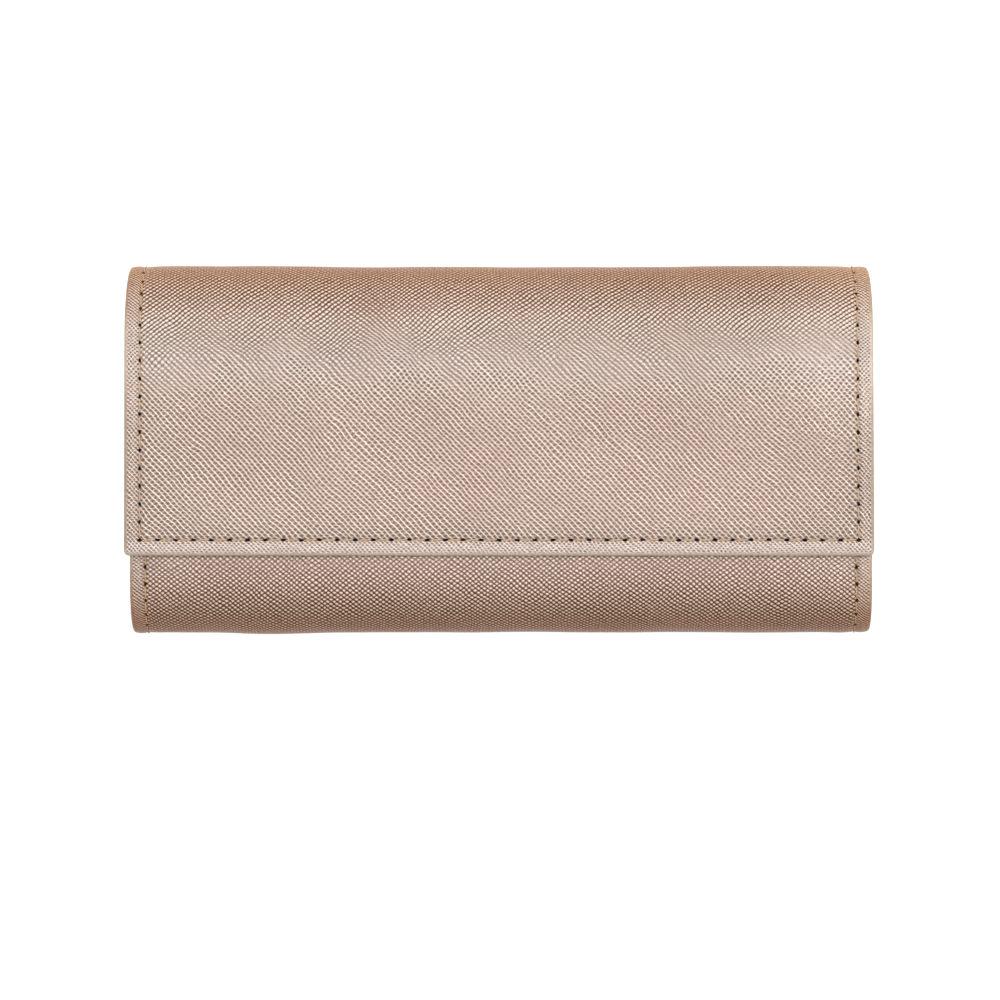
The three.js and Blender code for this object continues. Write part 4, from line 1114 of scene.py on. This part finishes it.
def eased(value, low, high):
    """0 at low, 1 at high and smooth between them. high may be the lesser."""
    inputs = {"Value": value, "From Min": low, "From Max": high}
    return made_from("ShaderNodeMapRange", inputs, interpolation_type="SMOOTHSTEP")


def between(value, start, risen, falling, end):
    """0 up to start, 1 from risen to falling, and 0 again from end."""
    return eased(value, start, risen) * eased(value, end, falling)


def srgb(red, green, blue):
    def linear(value):
        share = value / 255
        return share / 12.92 if share <= 0.04045 else ((share + 0.055) / 1.055) ** 2.4

    return (linear(red), linear(green), linear(blue), 1)


def ramp(value, stops):
    """A colour for each value, from pairs of a position and a colour."""
    made = make(value.socket.id_data, "ShaderNodeValToRGB", {"Fac": value})
    band = made.color_ramp
    while len(band.elements) < len(stops):
        band.elements.new(0.5)
    for element, (position, colour) in zip(band.elements, stops):
        element.position = position
        element.color = srgb(*colour)
    return Value(made.outputs[0])


def in_millimetres(place):
    return vector_calc("SCALE", {0: Value(place), 3: 1 / MM})


def flat_cut(tree):
    """The place on the flat cut."""
    return in_millimetres(make(tree, "ShaderNodeUVMap", uv_map="strip").outputs[0])


def object_place(tree):
    return in_millimetres(make(tree, "ShaderNodeTexCoord").outputs["Object"])


def parts(place):
    """A place's three numbers."""
    outputs = make(place.socket.id_data, "ShaderNodeSeparateXYZ", {0: place}).outputs
    return [Value(output) for output in outputs]


def noise(place, scale, detail=2, output="Fac"):
    inputs = {"Vector": place, "Scale": scale, "Detail": detail, "Roughness": 0.6}
    return made_from("ShaderNodeTexNoise", inputs, output)


def wavering(place, scale, amount, detail=2):
    """A number that wavers round 0."""
    return (noise(place, scale, detail) - 0.5) * amount


def shifted(place, scale, amount):
    """A place moved a little, each part of it its own way."""
    colour = noise(place, scale, 1, "Color")
    centred = vector_calc("SUBTRACT", {0: colour, 1: (0.5, 0.5, 0.5)})
    return vector_calc("ADD", {0: place, 1: vector_calc("SCALE", {0: centred, 3: amount})})


def bumped(shader, height, distance):
    relief = made_from("ShaderNodeBump", {"Height": height, "Distance": distance * MM, "Strength": 1.0})
    feed(shader, {"Normal": relief})


def emptied(owner):
    """The node tree of a material or world, with nothing in it."""
    owner.use_nodes = True
    owner.node_tree.nodes.clear()
    return owner.node_tree


def new_material(name):
    material = bpy.data.materials.new(name)
    tree = emptied(material)
    shader = make(tree, "ShaderNodeBsdfPrincipled")
    make(tree, "ShaderNodeOutputMaterial", {0: shader.outputs[0]})
    return material, tree, shader


# The grain: two crossing families of ridges at 45 degrees to the strip
GRAIN_PERIOD = 1.15
GRAIN_DEPTH = 0.11
FOLD_GRAIN = 0.28  # share by which the grain is closer along the strip at the folds
FOLD_GRAIN_ENDS = [(0.0, NEAR_BOTTOM), (FAR_BOTTOM, FAR_TOP + 5)]
MARGIN_RATE = 1.3  # finer outside the stitching
JAG = 0.05  # sideways jag of a ridge at each bead, as a share of the period
OUTERMOST_REACH = (18.0, 3.0)  # from a fold's outermost line: where its share starts and is full
SHIFTS = [(0.035, 2.6), (0.16, 1.2), (0.9, 0.27), (2.4, 0.16)]  # scale and amount of each wavering

# Tones of the grain, from 0 in its darkest lines to 1 at its brightest tips
MIDDLE_TONE = 0.6
BEAD_TONE = 0.8
# The turned edge's tone, lighter than the grain's middle as painted light on its sideways face, more so at
# the flap's end; the grain also fades towards it at the folds' outermost lines
RIM_TONE = 0.7
RIM_END_PAINTED_LIGHT = 0.1
FRONT_TONE = 0.085  # taken off the front panel's
PAINTED_LIGHT_TONE = 0.065
MARGIN_HIGHLIGHT_TONE = 0.1
# Taken off the margins' painted highlight beside the flap's middle
MARGIN_MIDDLE_TONE = 0.06  # taken off the margin's
BESIDE_SEAM_LIGHT = 0.06
END_MARGIN_HIGHLIGHT = 0.04
# Painted highlights over the crest and towards both ends of the folds, and the front panel's share of the
# ends' highlight
CREST_HIGHLIGHT = 0.125
RIGHT_HIGHLIGHT = 0.09
LEFT_HIGHLIGHT = 0.035
FRONT_END_SHARE = 0.6
STRENGTH = 0.95
CREST_STRENGTH = 0.45
PATCH = (0.9, 0.3)  # scale and amount
SPECKLE = (2.6, 0.8)
CLOUD = (0.035, 0.1, 1)
DRIFT = (0.05, 40.0, 1)  # of the far fold's grain into the flap's

# Beaded grains: the depths of both families' lines, the tips' painted glint and how broad the lines are
FAR_BEADS = (1.32, 0.34, 0.72, 0.4)
FRONT_BEADS = (1.15, 0.95, 0.12, 0.2)
BENT_BEADS = (1.35, 0.72, 1.05, 0.4)

# Stations between which the painted shade, the painted highlights and the grain's contrast differ: the
# start, full, last full and end
NEAR_PAINTED_SHADE = (NEAR_TOP - 8, NEAR_TOP + 15, NEAR_BOTTOM - 20, NEAR_BOTTOM + 3)
FAR_PAINTED_SHADE = (FAR_BOTTOM - 3, FAR_BOTTOM + 20, FAR_TOP - 20, FAR_TOP + 3)
CREST = (FAR_TOP - 9, FAR_TOP + 1, FAR_TOP + 8, FAR_TOP + 20)
PALE_CREST = (FAR_TOP, FAR_TOP + 6, FAR_TOP + 9, FAR_TOP + 16)
BRIGHT_ENDS = (FAR_BOTTOM + 15, FAR_BOTTOM + 30, FAR_TOP + 12, FAR_TOP + 36)
FLAP_MIDDLE = (FAR_TOP + 14, FAR_TOP + 28, STRIP_END - 6, STRIP_END - 2)
END_MARGIN = (STRIP_END - STITCH_INSET, STRIP_END - 3.5)
END_RIM = (STRIP_END - 3, STRIP_END - 1)
RIGHT_END = (70.0, 92.0)  # across
LEFT_END = (-78.0, -92.0)

# Distances inward of the stitching, or of the edge for the rim, between which the grain, the painted shadow
# and the painted light differ
BESIDE_SEAM = (0.2, 0.6, 1.0, 2.0)
SEAM_LINE = (0.3, 0.12)
MARGIN_GRAIN = (-0.2, 0.2)
MARGIN_HIGHLIGHT_INSIDE = (0.5, -0.5)
PALE_INSIDE = (0.0, 4.0)
PALE_EASE = 0.3
RIM_FROM = (0.6, 1.1)

# Shares of the rim, the folds' outermost lines, the seam's painted shadow and the needle holes
SPECKLE_ON_RIM = 0.25
OUTERMOST_WEAKER = 0.6
SEAM_SHADOW_SHARE = 0.5
HOLE_SHIFT = (0.45, 0.5)
HOLE_EDGE = (1.5, 0.6)
HOLE_BUMP = 2.5

# Tints, multiplied in: painted shade on the folds' outermost lines, a paler painted highlight and a warmer
# painted tint on the turned edge
NEAR_OUTER_SHADE_TINT = (0.84, 0.67, 0.54, 1)
FAR_OUTER_SHADE_TINT = (1.0, 0.83, 0.6, 1)
PALE_HIGHLIGHT_TINT = (1.0, 1.03, 1.06, 1)
RIM_PAINTED_TINT = (1.0, 0.95, 0.84, 1)
# Painted shadow along the stitching
SEAM_SHADOW_COLOUR = srgb(116, 80, 54)
# Painted shade in the needle holes, on the panels and on the folds
HOLE_SHADE_COLOUR = srgb(50, 27, 16)
BENT_HOLE_SHADE_COLOUR = srgb(96, 64, 44)
# Colours for the grain's tones on the panels. Its light and dark are partly the grain's own two tones and
# partly painted highlight and shade; the brightest stop is a painted highlight.
PANEL_TONES = [
    (0.05, (104, 81, 70)),
    (0.35, (146, 121, 108)),
    (0.62, (190, 167, 155)),
    (1.0, (255, 240, 229)),
]
# The same on the folds, darker and browner than the panels' as painted shade
FOLD_SHADED_TONES = [
    (0.05, (56, 28, 17)),
    (0.35, (100, 60, 42)),
    (0.65, (162, 112, 84)),
    (0.98, (255, 226, 200)),
]

WEAVE_PERIOD = 0.7
WEAVE_TONES = [(0.1, (150, 122, 104)), (0.6, (196, 168, 148)), (1.0, (222, 198, 180))]
THREAD_TONES = [(0.3, (212, 166, 118)), (0.7, (248, 216, 174))]


def ridges(phase, sharpness):
    """1 on the crests of a family of ridges, 0 between them."""
    return abs(calc("SINE", phase * math.pi)) ** sharpness


def jagged(line, bead):
    """A family's phase, moved to and fro once for each bead of the other family."""
    return line + calc("SINE", bead * (2 * math.pi)) * JAG


def lined_grain(line, bead):
    """Narrow bright ridges with dark dots between them. The ridges' brightness is partly the grain's own
    tone and partly painted highlight.
    """
    crest = ridges(jagged(line, bead), 7.0)
    dot = ridges(bead, 1.6)
    gap = dot * (1.0 - crest)
    return MIDDLE_TONE + crest * (0.38 + dot * 0.3) - gap * 0.44


def beaded_grain(line, bead, line_depth, bead_depth, glint, breadth):
    """Beads with a bright tip each, a painted glint, parted by thin dark lines of both families."""
    groove = 1.0 - ridges(line, breadth)
    cross = 1.0 - ridges(bead, breadth)
    tip = ridges(line, 3.0) * ridges(bead, 3.0)
    return BEAD_TONE - groove * line_depth - cross * bead_depth + tip * glint


def hole_mask(cut):
    """1 in the needle holes of the strip's stitching."""
    across, along, _ = parts(cut)
    middle = STRIP_END / 2
    side_row = (abs(across) - (HALF - STITCH_INSET), along, SIDE_HOLES, HOLE_HALF_LENGTH)
    end_row = (abs(along - middle) - (middle - STITCH_INSET), across, END_HOLES, END_HOLE_HALF_LENGTH)
    masks = []
    for off_line, on_line, holes, half_length in (side_row, end_row):
        pitch = holes[1] - holes[0]
        number = (on_line - holes[0]) / pitch
        beside = number - calc("ROUND", number)
        spread = abs(beside * (pitch / half_length)) ** 2.0 + abs(off_line / HOLE_HALF_WIDTH) ** 2.0
        past_middle = abs(on_line - (holes[0] + holes[-1]) / 2)
        on_run = calc("LESS_THAN", past_middle, (holes[-1] - holes[0] + pitch) / 2)
        masks.append(eased(spread, *HOLE_EDGE) * on_run)
    return calc("MAXIMUM", *masks)


def edge_inset(across, along):
    """The distance inward from the strip's edge."""
    from_end = calc("MINIMUM", along, STRIP_END - along)
    return calc("MINIMUM", HALF - abs(across), from_end)


def outermost_share(station, middle):
    """1 along a fold's outermost line and 0 away from it."""
    return eased(abs(station - middle), *OUTERMOST_REACH)


def grain_phases(cut, station):
    """The phases of the rising and the falling family, wavering and closer together at the folds."""
    for scale, amount in SHIFTS:
        cut = shifted(cut, scale, amount)
    across, along, _ = parts(cut)
    for low, high in FOLD_GRAIN_ENDS:
        bent = calc("MINIMUM", calc("MAXIMUM", station, low), high)
        along = along + bent * FOLD_GRAIN
    rate = 1 / (math.sqrt(2) * GRAIN_PERIOD)
    return (across + along) * rate, (across - along) * rate


def pale_highlight_share(station, inside):
    """1 along the flap's crest and along its end margin, where a paler painted highlight goes."""
    crest = between(station, *PALE_CREST) * eased(inside, *PALE_INSIDE)
    seam = STRIP_END - STITCH_INSET
    return crest + eased(station, seam - PALE_EASE, seam + PALE_EASE)


def painted_gleam(across, station):
    """A painted highlight: the added tone towards both ends of the folds, and over the crest."""
    ends = eased(across, *RIGHT_END) * RIGHT_HIGHLIGHT + eased(across, *LEFT_END) * LEFT_HIGHLIGHT
    front = eased(station, NEAR_TOP + 15, NEAR_TOP + 5) * FRONT_END_SHARE
    return ends * (between(station, *BRIGHT_ENDS) + front) + between(station, *CREST) * CREST_HIGHLIGHT


def inner_grain(cut, station, rising, falling):
    """The grain inside the stitching: lined on the panels and beaded in the folds."""
    panel = lined_grain(falling, rising)
    far_beads = beaded_grain(rising, falling, *FAR_BEADS)
    front_beads = beaded_grain(falling, rising, *FRONT_BEADS) - FRONT_TONE
    bent_beads = beaded_grain(falling, rising, *BENT_BEADS)
    near_beads = mixed(eased(station, NEAR_TOP - 5, NEAR_TOP + 12), front_beads, bent_beads)
    # Painted light on the front panel and the near fold's upper part
    near_beads = near_beads + eased(station, NEAR_TOP + 15, NEAR_TOP + 9) * PAINTED_LIGHT_TONE
    drifted = station + wavering(cut, *DRIFT)
    far = eased(station, FAR_BOTTOM, FAR_BOTTOM + 15) * eased(drifted, FAR_TOP + 14, FAR_TOP - 10)
    near = eased(station, NEAR_BOTTOM, NEAR_BOTTOM - 15)
    return mixed(near, mixed(far, panel, far_beads), near_beads)


def strip_grain(cut, station, inside):
    """The height of the grain all over the strip, before its finer unevenness, with painted highlights on
    the margins, the flap's end margin and just inside the stitching.
    """
    rising, falling = grain_phases(cut, station)
    margin_grain = lined_grain(falling * MARGIN_RATE, rising * MARGIN_RATE)
    inner = inner_grain(cut, station, rising, falling)
    height = mixed(eased(inside, *MARGIN_GRAIN), margin_grain, inner)
    strength = STRENGTH + between(station, *CREST) * CREST_STRENGTH
    # Painted highlight on the margins outside the stitching
    margin_highlight = MARGIN_HIGHLIGHT_TONE - between(station, *FLAP_MIDDLE) * MARGIN_MIDDLE_TONE
    lift = eased(inside, *MARGIN_HIGHLIGHT_INSIDE) * margin_highlight
    # Painted highlight on the flap's end margin
    lift = lift + eased(station, *END_MARGIN) * END_MARGIN_HIGHLIGHT
    # Painted light just inside the stitching, where the groove's slope is shaded
    lift = lift + between(inside, *BESIDE_SEAM) * BESIDE_SEAM_LIGHT
    return (height - MIDDLE_TONE) * strength + (lift + MIDDLE_TONE)


def cover_leather():
    material, tree, shader = new_material("cover_leather")
    cut = flat_cut(tree)
    across, station, _ = parts(cut)
    inset = edge_inset(across, station)
    inside = inset - STITCH_INSET
    near_outer = outermost_share(station, NEAR_MIDDLE)
    far_outer = outermost_share(station, FAR_MIDDLE)
    rim = eased(inset, *RIM_FROM)
    strength = rim * (1.0 - (near_outer + far_outer) * OUTERMOST_WEAKER)
    # Painted light on the turned edge, more at the flap's end
    rim_tone = RIM_TONE + eased(station, *END_RIM) * RIM_END_PAINTED_LIGHT
    height = mixed(strength, rim_tone, strip_grain(cut, station, inside))
    height = height + wavering(cut, *SPECKLE) * (SPECKLE_ON_RIM + rim * (1 - SPECKLE_ON_RIM))
    # tone: the grain, random patches and clouds, and painted highlights
    tone = height + (wavering(cut, *PATCH) + wavering(cut, *CLOUD)) + painted_gleam(across, station)
    # bent: 1 on the folds, which take darker, browner colours as painted shade
    bent = between(station, *NEAR_PAINTED_SHADE) + between(station, *FAR_PAINTED_SHADE)
    # A paler painted highlight along the flap's crest and its end margin
    panel_colour = tinted(pale_highlight_share(station, inside), ramp(tone, PANEL_TONES), PALE_HIGHLIGHT_TINT)
    colour = mixed_colour(bent, panel_colour, ramp(tone, FOLD_SHADED_TONES))
    # Painted shade: a warmer, darker tint along each fold's outermost line
    colour = tinted(near_outer, colour, NEAR_OUTER_SHADE_TINT)
    colour = tinted(far_outer, colour, FAR_OUTER_SHADE_TINT)
    # Painted shadow: a thin dark line along the stitching
    colour = mixed_colour(eased(abs(inside), *SEAM_LINE) * SEAM_SHADOW_SHARE, colour, SEAM_SHADOW_COLOUR)
    # A warmer tint painted on the turned edge, with its lighter tone standing in for light on its sideways
    # face
    colour = tinted(1.0 - rim, colour, RIM_PAINTED_TINT)
    holes = hole_mask(shifted(cut, *HOLE_SHIFT))
    # Painted shade in the needle holes, browner on the folds
    colour = mixed_colour(holes, colour, mixed_colour(bent, HOLE_SHADE_COLOUR, BENT_HOLE_SHADE_COLOUR))
    feed(shader, {
        "Base Color": colour,
        "Metallic": 0.15,
        "Roughness": 0.32,
        "Specular IOR Level": 0.15,
        "Specular Tint": srgb(255, 226, 204),
    })
    bumped(shader, height - holes * HOLE_BUMP, GRAIN_DEPTH)
    return material


def suede(name, light, dark):
    material, tree, shader = new_material(name)
    place = object_place(tree)
    fibre = noise(place, 6.0, 3)
    tone = noise(place, 0.35, 3) * 0.6 + fibre * 0.4
    colour = ramp(tone, [(0.3, dark), (0.7, light)])
    feed(shader, {"Base Color": colour, "Roughness": 0.95, "Sheen Weight": 0.35, "Sheen Roughness": 0.6})
    bumped(shader, fibre, 0.12)
    return material


def sewing_thread():
    material, tree, shader = new_material("sewing_thread")
    strand = noise(object_place(tree), 4.0)
    feed(shader, {"Base Color": ramp(strand, THREAD_TONES), "Roughness": 0.6})
    bumped(shader, strand, 0.05)
    return material


def metal(name, light, dark, roughness):
    material, tree, shader = new_material(name)
    place = object_place(tree)
    stretched = vector_calc("MULTIPLY", {0: place, 1: (0.15, 2.0, 2.0)})
    brushed = noise(stretched, 2.0, 3)
    colour = ramp(noise(place, 0.5), [(0.35, dark), (0.65, light)])
    feed(shader, {"Base Color": colour, "Roughness": roughness - 0.05 + brushed * 0.1, "Metallic": 1.0})
    bumped(shader, brushed, 0.01)
    return material


def webbing():
    material, tree, shader = new_material("zip_fabric")
    place = object_place(tree)
    x, y, _ = parts(place)
    warp = ridges((x + y) * (1 / WEAVE_PERIOD), 0.7)
    weft = ridges((x - y) * (1 / WEAVE_PERIOD), 0.7)
    height = warp * (1.0 - (1.0 - weft) * 0.6)
    tone = height + noise(place, 5.0) * 0.3
    feed(shader, {"Base Color": ramp(tone, WEAVE_TONES), "Roughness": 0.85, "Sheen Weight": 0.15})
    bumped(shader, height, 0.08)
    return material


LEATHER = cover_leather()
TAPE = webbing()
SUEDE = suede("lining_suede", (234, 208, 191), (210, 180, 161))
THREAD_MATERIAL = sewing_thread()
GOLD = metal("gold_metal", (226, 190, 140), (206, 168, 118), 0.36)
NICKEL = metal("plain_steel", (200, 196, 190), (178, 174, 168), 0.3)


def finish(piece, material):
    piece.data.materials.clear()
    piece.data.materials.append(material)


# Lengths of the strip. Each runs from the middle of one leaf to the middle of the next.

def fold_seams(fold_start, radius):
    return [fold_start + radius * math.pi / 4 * number for number in range(5)]


NEAR_SEAMS = fold_seams(NEAR_TOP, NEAR_RADIUS)
FAR_SEAMS = fold_seams(FAR_BOTTOM, FAR_RADIUS)

# Name, start and end, the two bodies on either side of it, and the two stations given to bend
LENGTHS = [
    ("front", 0, NEAR_SEAMS[1], "near_fold_upper", "front_panel", NEAR_SEAMS[1], NEAR_SEAMS[0]),
    ("near_upper", *NEAR_SEAMS[1:3], "near_fold_middle", "near_fold_upper", NEAR_SEAMS[2], NEAR_SEAMS[1]),
    ("near_lower", *NEAR_SEAMS[2:4], "near_fold_lower", "near_fold_middle", NEAR_SEAMS[3], NEAR_SEAMS[2]),
    ("base_near", NEAR_SEAMS[3], BASE_MIDDLE, "base", "near_fold_lower", NEAR_SEAMS[4], NEAR_SEAMS[3]),
    ("base_far", BASE_MIDDLE, FAR_SEAMS[1], "base", "far_fold_lower", FAR_SEAMS[0], FAR_SEAMS[1]),
    ("far_lower", *FAR_SEAMS[1:3], "far_fold_lower", "far_fold_middle", FAR_SEAMS[1], FAR_SEAMS[2]),
    ("far_upper", *FAR_SEAMS[2:4], "far_fold_middle", "far_fold_upper", FAR_SEAMS[2], FAR_SEAMS[3]),
    ("flap", FAR_SEAMS[3], STRIP_END, "far_fold_upper", "flap", FAR_SEAMS[3], FAR_SEAMS[4]),
]
STANDS_FOR = {
    "front": ["front_{}"],
    "near_upper": ["near_fold_{}_upper"],
    "near_lower": ["near_fold_{}_middle"],
    "base_near": ["near_fold_{}_lower"],
    "base_far": ["base_{}"],
    "far_lower": ["far_fold_{}_lower"],
    "far_upper": ["far_fold_{}_middle"],
    "flap": ["far_fold_{}_upper", "flap_{}"],
}
PADDED = {"front": "front_padding", "base_far": "base_padding", "flap": "flap_padding"}


def bend(piece, start, end):
    """Bakes a piece's placement into its mesh."""
    along = np.array([start, end], float)
    low, high = strip_point(0 * along, along, 0 * along) * MM
    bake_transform(piece)


def declare_cut(start, end, beyond):
    """Works out the length of a piece of the strip's cut, and keeps nothing of it. beyond is how much of its
    cut lies past the rim's inset.
    """
    free = start == 0 or end == STRIP_END
    length = end - start + (beyond - RIM if free else 0)
    length * MM


for label, start, end, first, second, turn_start, turn_end in LENGTHS:
    cover = shell(f"cover_{label}", start, end)
    finish(cover, LEATHER)
    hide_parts(*[name.format("cover") for name in STANDS_FOR[label]])
    sheet = lining_sheet(f"lining_{label}", start, end)
    finish(sheet, SUEDE)
    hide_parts(*[name.format("lining") for name in STANDS_FOR[label]])
    if label in PADDED:
        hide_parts(PADDED[label])
    thread = stitches(f"thread_{label}", strip_runs(start, end))
    finish(thread, THREAD_MATERIAL)
    for piece in (cover, sheet, thread):
        bend(piece, turn_start, turn_end)
    declare_cut(start, end, turned_length())
    if label in PADDED:
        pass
    else:
        declare_cut(start, end, 0)


def place_inside(pieces, material, slot_name, body, *nodes):
    """Rides a piece and its thread on a body, in the place of CAD nodes."""
    made, thread = pieces
    finish(made, material)
    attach(made, body)
    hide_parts(*nodes)
    if thread is not None:
        finish(thread, THREAD_MATERIAL)
        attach(thread, body)
    return made


held_pocket = place_inside(pocket(), SUEDE, "lining_suede", "base", "pocket_panel")
for side in ("far", "near"):
    place_inside((zip_tape(side), None), TAPE, "zip_fabric", "base", f"zip_tape_{side}")
roll = place_inside(ring_roll(), SUEDE, "lining_suede", "ring_bar", "ring_bar_sleeve", "ring_bar_core")
for name, direction in (("snap", 1), ("sewn", -1)):
    strap = f"ring_bar_{name}_strap"
    foot_end = corners(strap)[max(direction, 0)][0]
    place_inside(ring_strap(name, direction, foot_end), SUEDE, "lining_suede", "ring_bar", strap)
for number in (1, 2, 3):
    tab = f"necklace_tab_{number}"
    place_inside(necklace_strap(number), SUEDE, "lining_suede", tab, tab)
earring_leaf = place_inside(leaf(), SUEDE, "lining_suede", "earring_leaf", "earring_leaf")

GOLD_WORDS = ("zip_teeth", "zip_bottom", "zip_top", "zip_slider", "zip_pull", "cap", "stud")
NICKEL_WORDS = ("magnet", "snap_plate", "snap_washer")
for name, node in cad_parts.items():
    if any(word in name for word in GOLD_WORDS):
        finish(node, GOLD)
    elif any(word in name for word in NICKEL_WORDS):
        finish(node, NICKEL)


# Floor, light and camera, in metres

FLOOR_SIZE = 8
FLOOR_GREY = (0.5, 0.5, 0.5, 1)
FLOOR_GLOW = 0.9
WHITE = (1, 1, 1, 1)
AMBIENT = 0.15
LAMPS = [  # name, place, size and power
    ("key", (0.06, 0.07, 1.6), 0.4, 12.6),
    ("back", (-0.05, 1.3, 0.75), 1.2, 7.2),
    ("right", (0.75, 0.05, 0.4), 0.5, 0.5),
]
CAMERA_PLACE = (0.00023, -0.01355, 1.238)
LENS = 162.4
SENSOR = 36


def seen_directly(tree):
    """1 for rays from the camera, a glossy face or a see-through one, else 0."""
    path = make(tree, "ShaderNodeLightPath").outputs
    camera, glossy, passed = [Value(path[f"Is {kind} Ray"]) for kind in ("Camera", "Glossy", "Transmission")]
    return calc("MAXIMUM", calc("MAXIMUM", camera, glossy), passed)


def show(tree, output, lighting, seen):
    """Shows one shader to the rays that light the scene and another to those that are seen."""
    sides = {0: seen_directly(tree), 1: lighting.outputs[0], 2: seen.outputs[0]}
    shown = make(tree, "ShaderNodeMixShader", sides)
    make(tree, output, {0: shown.outputs[0]})


def stage_floor():
    bpy.ops.mesh.primitive_plane_add(size=FLOOR_SIZE, location=(0, 0, 0))
    floor = bpy.context.object
    floor.name = "floor"
    material = bpy.data.materials.new("floor")
    tree = emptied(material)
    plain = make(tree, "ShaderNodeBsdfDiffuse", {"Color": FLOOR_GREY})
    light = make(tree, "ShaderNodeEmission", {"Color": WHITE, "Strength": FLOOR_GLOW})
    both = make(tree, "ShaderNodeAddShader", {0: plain.outputs[0], 1: light.outputs[0]})
    show(tree, "ShaderNodeOutputMaterial", plain, both)
    floor.data.materials.append(material)


def stage_world():
    world = bpy.data.worlds.new("studio")
    bpy.context.scene.world = world
    tree = emptied(world)
    soft = make(tree, "ShaderNodeBackground", {"Color": WHITE, "Strength": AMBIENT})
    white = make(tree, "ShaderNodeBackground", {"Color": WHITE, "Strength": 1.0})
    show(tree, "ShaderNodeOutputWorld", soft, white)


def lamp(name, place, size, power):
    data = bpy.data.lights.new(name, "AREA")
    data.shape = "DISK"
    data.size = size
    data.energy = power
    made = bpy.data.objects.new(name, data)
    made.location = place
    aim = -made.location.copy()
    made.rotation_euler = aim.to_track_quat("-Z", "Y").to_euler()
    bpy.context.scene.collection.objects.link(made)


def stage_camera():
    data = bpy.data.cameras.new("camera")
    data.sensor_width = SENSOR
    data.lens = LENS
    camera = bpy.data.objects.new("camera", data)
    camera.location = CAMERA_PLACE
    bpy.context.scene.collection.objects.link(camera)
    bpy.context.scene.camera = camera


stage_floor()
stage_world()
for name, place, size, power in LAMPS:
    lamp(name, place, size, power)
stage_camera()
bpy.context.scene.view_settings.view_transform = "Standard"
